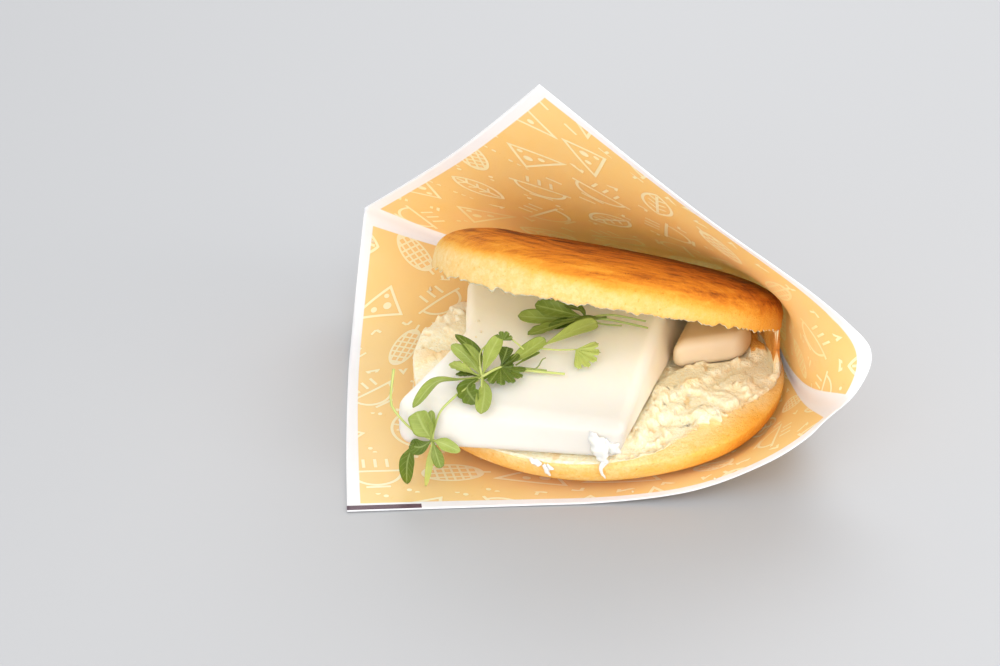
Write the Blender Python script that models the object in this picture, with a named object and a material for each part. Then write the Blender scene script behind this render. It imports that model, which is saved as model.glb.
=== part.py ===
"""A cheese arepa served in its open greaseproof paper sleeve.

The split corn bread gapes at the front over a thick slab and a smaller slice
of soft white cheese, with three sprigs of micro greens on top. The sleeve is
a square bag open along two sides: its lower sheet lies under the bread, and
its upper sheet rests on the bread's back and then stands up as a pointed flap.

Sizes are in centimetres up to mesh_object(), which turns them into metres.
X runs to the right, Y to the back and Z up, with the paper lying on Z = 0.
"""
import math

import bmesh
import bpy
import numpy as np
from mathutils import Matrix, Vector, noise

CM = 0.01

# Plan middle and lowest level of the whole object, moved to the origin at the end
MIDDLE = (3.214, 0.297)

# Bread
BREAD_CENTRE = (3.35, -0.05)
BREAD_RADIUS = 6.3
BREAD_UNDERSIDE = 0.09
WIDEST_LEVEL = 1.24
CRUMB_LEVEL = 1.50
SHOULDER_RISE = 0.50
TOP_HALF_RADIUS = 6.0
TOP_HALF_HEIGHT = 1.60
CRUST_POWER = 3.4
SECTORS = 64

# Hinge of the split bread, at its back right
HINGE_HEADING = math.radians(66.5)
HINGE_REACH = 5.05
GAPE = math.radians(27.0)
WEB_FROM = math.radians(-8.0)
WEB_TO = math.radians(124.0)
WEB_THICKNESS = 0.35

# Cheese: a long slab, and a slice at its right
CHEESE_GAP = 0.09
SLAB_BACK = 2.9
SLAB_TOP = 3.30
SLAB_SIZE = (8.4, 7.0, 1.6)
SLAB_ROUNDING = (0.45, 0.45, 0.45)
SLICE_LEFT = 5.8
SLICE_RIGHT = 8.65
SLICE_DEPTH = 2.2
SLICE_TOP = 2.62
SLICE_SIZE = (2.7, 2.2, 1.05)
SLICE_ROUNDING = (0.45, 0.35, 0.42)

# Micro greens
STEM_WIDTH = 0.11
STEM_THICKNESS = 0.09
LEAF_THICKNESS = 0.06

# Paper sleeve
PAPER = 0.05
SHEET_SIZE = 16.0
PAPER_CLEARANCE = 0.17
SLEEVE_CELLS = 40
SEAM_WIDTH = 0.25
SHEET_LINES = 17
FREE_CORNER_BELOW = (-4.84, -6.93, 0.0)
LEFT_CORNER = (-4.90, 6.90, 3.90)
BACK_CORNER = (10.00, 7.45, 0.90)
RIGHT_CORNER = (10.84, -5.50, 3.00)
FREE_CORNER_ABOVE = (1.20, -4.28, 13.58)


# Small tools

def smoothstep(low, high, value):
    """Rise smoothly from 0 at low to 1 at high."""
    t = min(max((value - low) / (high - low), 0.0), 1.0)
    return t * t * (3.0 - 2.0 * t)


def lerp(a, b, t):
    return a + (b - a) * t


def ripple(x, y, scale, seed=0.0):
    """Smooth noise over the plan, about -1 to 1, with lumps of the given size."""
    return noise.noise(Vector((x / scale, y / scale, seed)))


def material(name, colour, roughness):
    result = bpy.data.materials.new(name)
    result.use_nodes = True
    shader = result.node_tree.nodes["Principled BSDF"]
    shader.inputs["Base Color"].default_value = (*colour, 1.0)
    shader.inputs["Roughness"].default_value = roughness
    shader.inputs["Metallic"].default_value = 0.0
    return result


def mesh_object(name, points, faces, surface):
    """Make one closed object from points in centimetres."""
    shift = Vector((MIDDLE[0], MIDDLE[1], 0.0))
    mesh = bpy.data.meshes.new(name)
    mesh.from_pydata([(Vector(p) - shift) * CM for p in points], [], faces)
    shape = bmesh.new()
    shape.from_mesh(mesh)
    bmesh.ops.recalc_face_normals(shape, faces=shape.faces)
    shape.to_mesh(mesh)
    shape.free()
    mesh.materials.append(surface)
    mesh.shade_smooth()
    result = bpy.data.objects.new(name, mesh)
    bpy.context.scene.collection.objects.link(result)
    return result


def joined(name, pieces, surface):
    """Fuse overlapping closed objects into one solid by a Boolean union."""
    base = pieces[0]
    others = bpy.data.collections.new(name + "_pieces")
    bpy.context.scene.collection.children.link(others)
    for piece in pieces[1:]:
        bpy.context.scene.collection.objects.unlink(piece)
        others.objects.link(piece)
    union = base.modifiers.new("union", "BOOLEAN")
    union.operation = "UNION"
    union.operand_type = "COLLECTION"
    union.collection = others
    union.solver = "EXACT"
    graph = bpy.context.evaluated_depsgraph_get()
    mesh = bpy.data.meshes.new_from_object(base.evaluated_get(graph))
    for piece in pieces:
        bpy.data.objects.remove(piece)
    bpy.data.collections.remove(others)
    mesh.name = name
    mesh.materials.clear()
    mesh.materials.append(surface)
    result = bpy.data.objects.new(name, mesh)
    bpy.context.scene.collection.objects.link(result)
    return result


def skin(rings, first, last):
    """Close a stack of equal rings with a point at each end."""
    count = len(rings[0])
    points = [first] + [point for ring in rings for point in ring] + [last]
    faces = []
    for k in range(count):
        step = (k + 1) % count
        faces.append((0, 1 + step, 1 + k))
        for ring in range(len(rings) - 1):
            low = 1 + ring * count
            high = low + count
            faces.append((low + k, low + step, high + step, high + k))
        top = 1 + (len(rings) - 1) * count
        faces.append((top + k, top + step, len(points) - 1))
    return points, faces


# Hinge: the top half is modelled shut and swung open about its back right

HINGE_BACK = np.array([math.cos(HINGE_HEADING), math.sin(HINGE_HEADING), 0.0])
HINGE_AXIS = np.array([-math.sin(HINGE_HEADING), math.cos(HINGE_HEADING), 0.0])
SHUT_CENTRE = np.array([BREAD_CENTRE[0], BREAD_CENTRE[1], CRUMB_LEVEL])
HINGE_POINT = SHUT_CENTRE + HINGE_BACK * HINGE_REACH
SWING = np.array(Matrix.Rotation(GAPE, 3, Vector(HINGE_AXIS)))


def swing_open(points):
    """Place points given about the shut top half's middle."""
    return (np.asarray(points) + SHUT_CENTRE - HINGE_POINT) @ SWING.T + HINGE_POINT


def swing_shut(points):
    """Give placed points about the shut top half's middle."""
    return (np.asarray(points) - HINGE_POINT) @ SWING + HINGE_POINT - SHUT_CENTRE


def ceiling(x, y):
    """Height of the top half's crumb face over a plan point."""
    ahead = (HINGE_POINT[0] - x) * HINGE_BACK[0] + (HINGE_POINT[1] - y) * HINGE_BACK[1]
    return CRUMB_LEVEL + math.tan(GAPE) * ahead


# Cheese outlines, which the crumb under them follows too

def slab_left(y):
    """Left side of the slab, which spreads towards the front."""
    spread = min(max((-0.4 - y) / 4.2, 0.0), 1.0)
    return -1.12 - 2.10 * spread ** 1.3


def slab_right(y):
    return 5.51 + 0.24 * y


def slab_spread(y):
    """How far the foot of the slab's right side stands out past its top."""
    return 0.50 + 0.12 * y


def slab_top(x, y):
    """Top of the slab, sagging to the front and pressed by the bread behind."""
    sag = 0.014 * max(0.5 - y, 0.0) ** 2
    return min(SLAB_TOP - sag, ceiling(x, y) - 0.12)


def cheese_floor(x, y):
    """Underside of the cheese, which droops where it hangs past the bread."""
    reach = math.hypot(x - BREAD_CENTRE[0], y - BREAD_CENTRE[1])
    return CRUMB_LEVEL + CHEESE_GAP - 0.10 * smoothstep(6.5, 8.2, reach)


def slice_front(x):
    return -0.88 + 0.28 * (x - SLICE_LEFT)


def under_cheese(x, y):
    """1 under the cheese, falling to 0 a little beside it."""
    beside_slab = max(slab_left(y) - x, x - slab_right(y) - slab_spread(y), 0.0)
    past_slab = max(y - SLAB_BACK, 0.0)
    beside_slice = max(SLICE_LEFT - x, x - SLICE_RIGHT, 0.0)
    past_slice = max(slice_front(x) - y, y - slice_front(x) - SLICE_DEPTH, 0.0)
    away = min(math.hypot(beside_slab, past_slab), math.hypot(beside_slice, past_slice))
    return 1.0 - smoothstep(0.40, 1.10, away)


# Bread

def rim_radius(angle):
    """Outline of the bread, slightly out of round."""
    uneven = 0.010 * math.sin(2 * angle + 0.6) + 0.007 * math.sin(3 * angle + 2.0)
    return BREAD_RADIUS * (1.0 + uneven + 0.003 * math.sin(7 * angle + 1.0))


def upper_radius(angle):
    """Outline of the top half, a little smaller than the bottom half."""
    return rim_radius(angle) * TOP_HALF_RADIUS / BREAD_RADIUS


def hanging(angle):
    """How far the torn edge of the top half hangs below its crumb face, at the front left."""
    from_left = math.remainder(angle - math.radians(-132.0), 2 * math.pi)
    return 0.16 * math.exp(-(from_left / 0.5) ** 2)


def crust_ring(angle, climb, height, power):
    """Radius and height on a crust's rounded side; climb runs from 0 at the rim to 90 degrees."""
    out = max(math.cos(climb), 0.0) ** (2.0 / power)
    up = math.sin(climb) ** (2.0 / power)
    return rim_radius(angle) * out, height * up


def crumb_height(x, y):
    """Torn crumb of the bottom half: level under the cheese, rough beside it."""
    open_crumb = 1.0 - under_cheese(x, y)
    reach = math.hypot(x - BREAD_CENTRE[0], y - BREAD_CENTRE[1])
    left_rise = 0.28 * smoothstep(-0.8, -2.2, x)
    right_rise = 0.12 * smoothstep(5.5, 6.5, x)
    relief = 0.11 * ripple(x, y, 1.5, 3.0) + 0.08 * ripple(x, y, 0.6, 7.0)
    rounding = 0.10 * smoothstep(5.5, 6.3, reach)
    return CRUMB_LEVEL - rounding + open_crumb * (left_rise + right_rise + relief)


def tear_depth(angle):
    """How far the torn crumb stands back from the rim, mostly at the front right."""
    from_tear = math.remainder(angle - math.radians(-46.0), 2 * math.pi)
    return math.exp(-(from_tear / 0.62) ** 2)


def polar(angle, radius, height):
    return (BREAD_CENTRE[0] + radius * math.cos(angle), BREAD_CENTRE[1] + radius * math.sin(angle), height)


def bottom_half():
    angles = [2 * math.pi * k / SECTORS for k in range(SECTORS)]
    depth = WIDEST_LEVEL - BREAD_UNDERSIDE
    rings = []
    for climb in (64, 47, 33, 22, 13, 5, 0):
        ring = []
        for angle in angles:
            radius, drop = crust_ring(angle, math.radians(climb), depth, CRUST_POWER)
            ring.append(polar(angle, radius, WIDEST_LEVEL - drop))
        rings.append(ring)
    lips = []
    for angle in angles:
        tear = tear_depth(angle)
        climb = math.radians(5 + 28 * tear)
        radius, rise = crust_ring(angle, climb, SHOULDER_RISE, 2.0)
        jag = 0.09 * ripple(angle * 9, 0.0, 1.0, 11.0) * (0.4 + tear)
        lips.append((angle, radius, WIDEST_LEVEL + rise, jag))
    shoulder = []
    for angle, radius, level, jag in lips:
        shoulder.append(polar(angle, lerp(rim_radius(angle), radius, 0.45), lerp(WIDEST_LEVEL, level, 0.62)))
    rings.append(shoulder)
    rings.append([polar(angle, radius, level) for angle, radius, level, jag in lips])
    rings.append([polar(angle, radius + 0.5 * jag - 0.05, level + 0.02) for angle, radius, level, jag
                  in lips])
    for inward in (0.06, 0.35, 0.85, 1.5, 2.4, 3.5, 4.7):
        ring = []
        for angle, radius, level, jag in lips:
            x, y, _ = polar(angle, radius - inward + jag * smoothstep(0.5, 0.0, inward), 0.0)
            ring.append((x, y, max(crumb_height(x, y), level + 0.04)))
        rings.append(ring)
    first = polar(0.0, 0.0, BREAD_UNDERSIDE)
    last = polar(0.0, 0.0, crumb_height(*BREAD_CENTRE))
    return skin(rings, first, last)


def top_half():
    angles = [2 * math.pi * k / SECTORS for k in range(SECTORS)]
    rings = []
    for inward in (4.4, 3.0, 1.8, 0.9, 0.3):
        ring = []
        for angle in angles:
            radius = upper_radius(angle) - inward
            x = radius * math.cos(angle)
            y = radius * math.sin(angle)
            ring.append((x, y, 0.10 + 0.05 * ripple(x, y, 0.8, 5.0)))
        rings.append(ring)
    edge = []
    for angle in angles:
        jag = 0.10 * ripple(angle * 8, 0.0, 1.0, 17.0) + 0.06 * ripple(angle * 20, 0.0, 1.0, 23.0)
        radius = upper_radius(angle) - 0.10 + jag * 0.4
        edge.append((radius * math.cos(angle), radius * math.sin(angle), jag - 0.06 - hanging(angle)))
    rings.append(edge)
    side = 0.16
    for climb in (0, 7, 15, 25, 37, 50, 66):
        ring = []
        for angle in angles:
            radius, rise = crust_ring(angle, math.radians(climb), TOP_HALF_HEIGHT - side, CRUST_POWER)
            radius *= TOP_HALF_RADIUS / BREAD_RADIUS
            ring.append((radius * math.cos(angle), radius * math.sin(angle), side + rise))
        rings.append(ring)
    points, faces = skin(rings, (0.0, 0.0, 0.10), (0.0, 0.0, TOP_HALF_HEIGHT))
    return [tuple(point) for point in swing_open(points)], faces


def hinge_web():
    """The unsplit crust that still joins the two halves round the back right."""
    steps = 26
    rings = []
    for k in range(steps + 1):
        angle = lerp(WEB_FROM, WEB_TO, k / steps)
        end = smoothstep(0.0, 0.12, k / steps) * smoothstep(1.0, 0.88, k / steps)
        thickness = WEB_THICKNESS * (0.3 + 0.7 * end)
        foot = rim_radius(angle) - 0.15
        head = upper_radius(angle) - 0.12
        low = CRUMB_LEVEL - 0.25
        spoke = np.array([math.cos(angle), math.sin(angle), 0.0])
        upper = swing_open([spoke * reach + (0.0, 0.0, 0.35) for reach in (head, head - thickness)])
        upper[:, 2] = np.maximum(upper[:, 2], CRUMB_LEVEL + 0.05)
        rings.append([polar(angle, foot, low), tuple(upper[0]), tuple(upper[1]),
                      polar(angle, foot - thickness, low)])
    first = np.mean(rings[0], axis=0)
    last = np.mean(rings[-1], axis=0)
    return skin(rings, tuple(first), tuple(last))


def make_bread():
    crust = material("golden_crust", (0.80, 0.50, 0.16), 0.6)
    pieces = []
    for name, shape in (("lower", bottom_half()), ("upper", top_half()), ("web", hinge_web())):
        pieces.append(mesh_object(name, *shape, crust))
    return joined("arepa_bread", pieces, crust)


# Cheese

def cell_lines(length, radius, cells):
    """Places of the grid lines along one side of a block, closer at its round edges."""
    inside = np.linspace(radius, length - radius, cells + 1)
    return [0.0, 0.3 * radius] + list(inside) + [length - 0.3 * radius, length]


def rounded_block(size, radius, cells):
    """Surface grid of a block with round edges; points run from 0 to 1 along each side."""
    lines = [cell_lines(size[axis], radius[axis], cells[axis]) for axis in range(3)]
    last = [len(line) - 1 for line in lines]
    index = {}
    points = []
    faces = []

    def corner(key):
        if key not in index:
            flat = np.array([lines[axis][key[axis]] for axis in range(3)])
            core = np.array([min(max(flat[a], radius[a]), size[a] - radius[a]) for a in range(3)])
            out = (flat - core) / np.array(radius)
            length = np.linalg.norm(out)
            if length > 1e-9:
                out = out / length * np.max(np.abs(out))
            index[key] = len(points)
            points.append((core + out * np.array(radius)) / np.array(size))
        return index[key]

    for axis in range(3):
        first, second = [a for a in range(3) if a != axis]
        for side in (0, last[axis]):
            for i in range(last[first]):
                for j in range(last[second]):
                    face = []
                    for di, dj in ((0, 0), (1, 0), (1, 1), (0, 1)):
                        key = [0, 0, 0]
                        key[axis] = side
                        key[first] = i + di
                        key[second] = j + dj
                        face.append(corner(tuple(key)))
                    faces.append(face)
    return points, faces


def slab_place(along, across, up):
    """Point of the large slab; along runs to the front, across to the right."""
    front = lerp(lerp(-5.20, -6.35, across ** 0.6), lerp(-4.75, -6.20, across), up)
    y = lerp(SLAB_BACK - 0.3 * across, front, along)
    x = lerp(slab_left(y), slab_right(y) + slab_spread(y) * (1.0 - up), across)
    x += 0.05 * ripple(y, up * 2, 1.6, 2.0)
    low = cheese_floor(x, y)
    high = slab_top(x, y) + 0.03 * ripple(x, y, 1.8, 9.0) - 0.03
    return x, y, lerp(low, high, up)


def slice_place(along, across, up):
    """Point of the small slice, tucked under the bread on the right."""
    depth = (1.0 - across) * SLICE_DEPTH
    beside = slice_front(SLICE_LEFT) + depth
    left = slab_right(beside) + slab_spread(beside) + 0.08
    x = lerp(left, SLICE_RIGHT, along)
    y = slice_front(x) + depth
    high = min(SLICE_TOP, ceiling(x, y) - 0.14)
    return x, y, lerp(cheese_floor(x, y), high, up)


def make_cheese(name, place, size, radius, cells):
    points, faces = rounded_block(size, radius, cells)
    curd = material(name + "_curd", (0.93, 0.89, 0.80), 0.35)
    return mesh_object(name, [place(*point) for point in points], faces, curd)


# Micro greens: every stem and leaf is a tapering ribbon, and each sprig is fused into one solid

def curve_through(points, count):
    """Evenly spaced points on a smooth curve through the given ones."""
    points = [np.array(point, float) for point in points]
    padded = [2 * points[0] - points[1]] + points + [2 * points[-1] - points[-2]]
    dense = []
    for k in range(1, len(padded) - 2):
        a, b, c, d = padded[k - 1:k + 3]
        for t in np.linspace(0.0, 1.0, 24, endpoint=False):
            dense.append(0.5 * (2 * b + (c - a) * t + (2 * a - 5 * b + 4 * c - d) * t * t
                                + (3 * b - a - 3 * c + d) * t ** 3))
    dense.append(points[-1])
    dense = np.array(dense)
    run = np.concatenate([[0.0], np.cumsum(np.linalg.norm(np.diff(dense, axis=0), axis=1))])
    even = np.linspace(0.0, run[-1], count)
    return np.stack([np.interp(even, run, dense[:, axis]) for axis in range(3)], axis=1)


def ribbon(path, widths, thicknesses, cup=0.0, face=(0.0, 0.0, 1.0)):
    """Closed strip along a path, its upper and lower faces split into triangles alike."""
    rings = []
    for k, centre in enumerate(path):
        ahead = path[min(k + 1, len(path) - 1)] - path[max(k - 1, 0)]
        side = np.cross(ahead, face)
        side /= np.linalg.norm(side)
        rise = np.cross(side, ahead)
        rise /= np.linalg.norm(rise)
        half = widths[k] / 2
        dip = -cup * widths[k]
        ring = []
        for across, level in ((-1, 0), (-0.5, 1), (0.5, 1), (1, 0), (0.5, -1), (-0.5, -1)):
            sunk = dip if abs(across) < 1 else 0.0
            ring.append(centre + side * half * across + rise * (level * thicknesses[k] / 2 + sunk))
        rings.append(ring)
    points = [tuple(point) for ring in rings for point in ring]
    faces = []
    for k in range(len(rings) - 1):
        low = 6 * k
        high = low + 6
        for a, b in ((0, 1), (1, 2), (2, 3)):
            faces.append((low + a, low + b, high + b))
            faces.append((low + a, high + b, high + a))
        for a, b in ((0, 5), (5, 4), (4, 3)):
            faces.append((low + a, high + b, low + b))
            faces.append((low + a, high + a, high + b))
    for ring in (0, len(rings) - 1):
        start = 6 * ring
        faces.append((start, start + 1, start + 5))
        faces.append((start + 1, start + 2, start + 4))
        faces.append((start + 1, start + 4, start + 5))
        faces.append((start + 2, start + 3, start + 4))
    return points, faces


def stem(*points, width=STEM_WIDTH, rings=4):
    path = curve_through(points, rings)
    return ribbon(path, [width] * rings, [STEM_THICKNESS] * rings)


def leaf(*points, width, face=(0.0, 0.0, 1.0), rings=6, cup=0.10):
    """Narrow leaf from its stalk to its tip, widest beyond the middle."""
    path = curve_through(points, rings)
    widths = []
    for k in range(rings):
        t = k / (rings - 1)
        blade = math.sin(math.pi * min(t, 0.985) ** 0.85) ** 0.8
        widths.append(max(width * blade, 0.10 * (1.0 - 0.4 * t)))
    thicknesses = [lerp(STEM_THICKNESS, LEAF_THICKNESS, min(3 * k / (rings - 1), 1.0)) for k in range(rings)]
    return ribbon(path, widths, thicknesses, cup, face)


def fan(stalk, heading, radius, lobes, tilt=0.0, spread=math.radians(150)):
    """Toothed fan leaf spreading from the end of its stalk."""
    steps = lobes * 2
    edge = []
    for k in range(steps + 1):
        angle = heading + spread * (k / steps - 0.5)
        tooth = 1.0 - 0.18 * (1 - k % 2)
        edge.append((angle, radius * tooth))
    outline = [(heading + math.pi, 0.10)] + edge
    points = []
    for level in (LEAF_THICKNESS / 2, -LEAF_THICKNESS / 2):
        points.append((stalk[0], stalk[1], stalk[2] + level))
        for angle, reach in outline:
            rise = tilt * reach + 0.04 * math.sin(3 * angle)
            points.append((stalk[0] + reach * math.cos(angle), stalk[1] + reach * math.sin(angle),
                           stalk[2] + rise + level))
    count = len(outline)
    faces = []
    for k in range(count):
        step = (k + 1) % count
        faces.append((0, 1 + k, 1 + step))
        faces.append((count + 1, count + 2 + step, count + 2 + k))
        faces.append((1 + k, count + 2 + k, count + 2 + step))
        faces.append((1 + k, count + 2 + step, 1 + step))
    return points, faces


def middle_sprig():
    """The open rosette on the slab, with long stalks to the right."""
    hub = (-0.55, -4.16, 3.36)
    fork = (0.05, -3.60, 3.38)
    knee = (1.18, -2.78, 3.58)
    return [
        stem(hub, fork, (0.62, -3.52, 3.24), (2.13, -3.68, 3.17), rings=6),
        stem(hub, (-0.85, -4.40, 3.24), (-1.33, -4.82, 3.06), rings=3),
        leaf(hub, (-0.30, -3.50, 3.80), (0.03, -2.92, 4.15), width=0.46, face=(0.1, -0.8, 0.6)),
        leaf(hub, (-0.80, -3.22, 3.72), (-1.42, -2.66, 4.06), width=0.40),
        leaf(hub, (-1.00, -3.42, 3.60), (-1.52, -2.88, 3.80), width=0.38, face=(-0.3, -0.5, 0.8)),
        leaf(hub, (-1.05, -3.98, 3.44), (-1.56, -3.72, 3.50), width=0.34),
        leaf(hub, (-1.30, -4.52, 3.46), (-2.06, -4.74, 3.48), (-2.72, -5.54, 3.04), width=0.40, rings=8),
        leaf(hub, (-1.05, -4.52, 3.22), (-0.68, -5.08, 3.06), width=0.44),
        leaf(hub, (-0.50, -4.78, 3.24), (-0.57, -5.64, 2.95), width=0.40),
        fan(fork, math.radians(-48), 0.62, 6, tilt=-0.12),
        leaf(fork, (0.20, -3.38, 3.58), (0.37, -3.06, 3.74), width=0.40),
        leaf(fork, (0.70, -3.12, 3.54), (1.46, -2.50, 3.78), width=0.42),
        stem(hub, (-0.40, -3.35, 3.74), (-0.07, -2.95, 4.03), (0.24, -2.88, 4.08), rings=6),
        fan((0.22, -2.88, 4.08), math.radians(80), 0.24, 3, spread=math.radians(200)),
        stem((0.95, -3.56, 3.19), (1.24, -3.42, 3.24), (1.57, -3.12, 3.42), rings=4),
        stem(fork, (0.60, -3.22, 3.46), knee, (1.90, -2.70, 3.44), (2.58, -2.68, 3.37), rings=7),
        fan((2.58, -2.68, 3.37), math.radians(-38), 0.66, 5, tilt=-0.08, spread=math.radians(120)),
        leaf(knee, (1.70, -2.32, 3.60), (2.60, -1.52, 3.62), (3.27, -0.98, 3.58), width=0.50, rings=7),
    ]


def back_sprig():
    """The bunch tucked under the lip of the top half."""
    tie = (2.90, -0.68, 3.55)
    return [
        stem(tie, (3.72, -0.68, 3.49), (4.97, -1.04, 3.38), rings=5),
        stem(tie, (3.75, -0.54, 3.60), (4.91, -0.80, 3.50), rings=5),
        leaf(tie, (1.80, -0.72, 3.58), (0.63, -0.60, 3.60), width=0.56, rings=7),
        leaf(tie, (1.90, -1.05, 3.50), (0.96, -1.56, 3.42), width=0.44),
        leaf(tie, (2.10, -0.56, 3.76), (1.20, -0.50, 3.96), width=0.56, rings=7, face=(0.0, -0.5, 0.8)),
        leaf(tie, (2.75, -0.46, 3.75), (2.15, -0.26, 3.88), width=0.46),
    ]


def front_sprig():
    """The stalks and leaves that hang over the front left of the slab."""
    hub = (-2.12, -5.74, 1.95)
    side = (-2.86, -5.60, 1.66)
    return [
        stem((-1.52, -4.80, 3.10), (-1.88, -5.30, 2.68), hub, rings=5),
        stem((-3.33, -4.55, 3.80), (-3.42, -5.05, 2.76), (-2.82, -5.50, 2.18), hub, rings=6),
        leaf(hub, (-2.45, -5.66, 2.44), (-2.72, -5.48, 2.74), width=0.62, face=(-0.2, -0.9, 0.4)),
        leaf(hub, (-2.50, -5.76, 1.80), side, width=0.46, face=(-0.2, -0.8, 0.6)),
        leaf((-2.66, -5.68, 1.76), (-2.96, -5.72, 1.10), (-3.00, -5.70, 0.28), width=0.46,
             face=(-0.2, -0.9, 0.2)),
        leaf(hub, (-1.80, -5.88, 1.92), (-1.26, -6.02, 1.74), width=0.34, face=(0.0, -0.8, 0.6)),
        leaf(hub, (-2.00, -5.95, 1.56), (-1.86, -6.06, 1.12), width=0.28, face=(0.2, -0.9, 0.2)),
        stem(hub, (-2.18, -5.92, 1.20), (-2.34, -5.72, 0.22), width=0.14, rings=5),
    ]


def make_sprig(name, shapes):
    green = material(name + "_green", (0.20, 0.34, 0.06), 0.5)
    pieces = []
    for number, (points, faces) in enumerate(shapes):
        pieces.append(mesh_object("%s_piece_%02d" % (name, number), points, faces, green))
    return joined(name, pieces, green)


# Paper sleeve: two square sheets sealed along the back and the right

def sheet_edges():
    """The six edges, each with SLEEVE_CELLS + 1 points, starting at the sealed corners."""
    count = SLEEVE_CELLS + 1
    back_seam = curve_through([BACK_CORNER, (5.0, 7.45, 0.85), (1.0, 7.45, 1.40),
                               (-2.2, 7.50, 2.35), LEFT_CORNER], count)
    right_seam = curve_through([BACK_CORNER, (10.25, 4.5, 0.75), (10.05, 1.3, 0.60),
                                (10.30, -2.3, 1.45), RIGHT_CORNER], count)
    left_edge = curve_through([LEFT_CORNER, (-5.15, 5.6, 1.85), (-5.3, 4.1, 0.35), (-5.3, 1.5, 0.0),
                               (-5.1, -3.0, 0.0), FREE_CORNER_BELOW], count)
    front_edge = curve_through([RIGHT_CORNER, (10.34, -5.65, 2.60), (9.79, -5.75, 2.00),
                                (8.7, -5.9, 1.25), (6.9, -6.2, 0.55),
                                (5.2, -6.4, 0.22), (2.6, -6.5, 0.0), (-1.0, -6.7, 0.0),
                                FREE_CORNER_BELOW], count)
    flap_left = curve_through([LEFT_CORNER, (-3.36, 4.41, 6.03), (-1.73, 1.52, 8.46),
                               (-0.38, -1.01, 10.70), FREE_CORNER_ABOVE], count)
    flap_right = curve_through([RIGHT_CORNER, (11.24, -5.20, 3.22), (11.55, -5.05, 3.68),
                                (11.74, -4.98, 4.20), (11.72, -4.95, 4.78), (11.32, -4.92, 5.38),
                                (9.60, -4.87, 6.93), (5.78, -4.80, 9.85), FREE_CORNER_ABOVE], count)
    for edge in (left_edge, front_edge):
        edge[:, 2] = np.maximum(edge[:, 2], 0.0)
    return back_seam, right_seam, left_edge, front_edge, flap_left, flap_right


def spanned(back_seam, right_seam, left_edge, front_edge):
    """Grid of points blended between four edges; the first index runs along the back seam."""
    count = SLEEVE_CELLS + 1
    grid = np.zeros((count, count, 3))
    for i in range(count):
        for j in range(count):
            u = i / SLEEVE_CELLS
            v = j / SLEEVE_CELLS
            between = lerp(right_seam[j], left_edge[j], u) + lerp(back_seam[i], front_edge[i], v)
            corners = lerp(lerp(back_seam[0], back_seam[-1], u), lerp(front_edge[0], front_edge[-1], u), v)
            grid[i, j] = between - corners
    return grid


def pushed_out(points, centre, radius, above, below):
    """Move points out of a crust-shaped body about a centre; above and below are its two heights."""
    local = points - centre
    reach = np.hypot(local[..., 0], local[..., 1])
    height = np.where(local[..., 2] > 0.0, above, below)
    depth = ((reach / radius) ** CRUST_POWER + (np.abs(local[..., 2]) / height) ** CRUST_POWER)
    depth = np.maximum(depth, 1e-6) ** (1.0 / CRUST_POWER)
    return centre + local / np.minimum(depth, 1.0)[..., None]


def clear_of_bottom(points):
    """Keep the lower sheet under the bread and on the surface."""
    centre = np.array([BREAD_CENTRE[0], BREAD_CENTRE[1], WIDEST_LEVEL])
    radius = BREAD_RADIUS + PAPER_CLEARANCE + 0.05
    depth = WIDEST_LEVEL - BREAD_UNDERSIDE + PAPER_CLEARANCE
    points = pushed_out(points, centre, radius, SHOULDER_RISE + PAPER_CLEARANCE, depth)
    points[..., 2] = np.maximum(points[..., 2], 0.0)
    return points


def clear_of_top(points):
    """Keep the upper sheet over the bread."""
    radius = BREAD_RADIUS + PAPER_CLEARANCE + 0.08
    upper = TOP_HALF_RADIUS + PAPER_CLEARANCE + 0.12
    height = TOP_HALF_HEIGHT + PAPER_CLEARANCE + 0.06
    shut = pushed_out(swing_shut(points.reshape(-1, 3)), np.zeros(3), upper, height, 0.3)
    points = swing_open(shut).reshape(points.shape)
    centre = np.array([BREAD_CENTRE[0], BREAD_CENTRE[1], WIDEST_LEVEL])
    depth = WIDEST_LEVEL - BREAD_UNDERSIDE + PAPER_CLEARANCE
    return pushed_out(points, centre, radius, SHOULDER_RISE + PAPER_CLEARANCE, depth)


def drawn_taut(grid, clear, rounds=900):
    """Draw a sheet taut between its edges while it stays clear of the bread."""
    grid = grid.copy()
    for _ in range(rounds):
        around = grid[2:, 1:-1] + grid[:-2, 1:-1] + grid[1:-1, 2:] + grid[1:-1, :-2]
        grid[1:-1, 1:-1] = clear(around / 4)
    return grid


def sleeve_sheets():
    """The outer faces of the lower and the upper sheet."""
    back_seam, right_seam, left_edge, front_edge, flap_left, flap_right = sheet_edges()
    lower = drawn_taut(spanned(back_seam, right_seam, left_edge, front_edge), clear_of_bottom)
    upper = drawn_taut(spanned(back_seam, right_seam, flap_left, flap_right), clear_of_top)
    return lower, upper


def resampled(grid, lines):
    """Read a grid at the given places, 0 to 1, along both of its sides."""
    places = np.array(lines) * SLEEVE_CELLS
    low = np.minimum(places.astype(int), SLEEVE_CELLS - 1)
    part = (places - low)[:, None, None]
    rows = lerp(grid[low], grid[low + 1], part)
    part = (places - low)[None, :, None]
    return lerp(rows[:, low], rows[:, low + 1], part)


def inward(grid, sign):
    """Unit normals of a sheet, towards the inside of the bag."""
    along = np.gradient(grid, axis=0)
    across = np.gradient(grid, axis=1)
    normal = np.cross(along, across)
    return sign * normal / np.linalg.norm(normal, axis=-1, keepdims=True)


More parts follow.
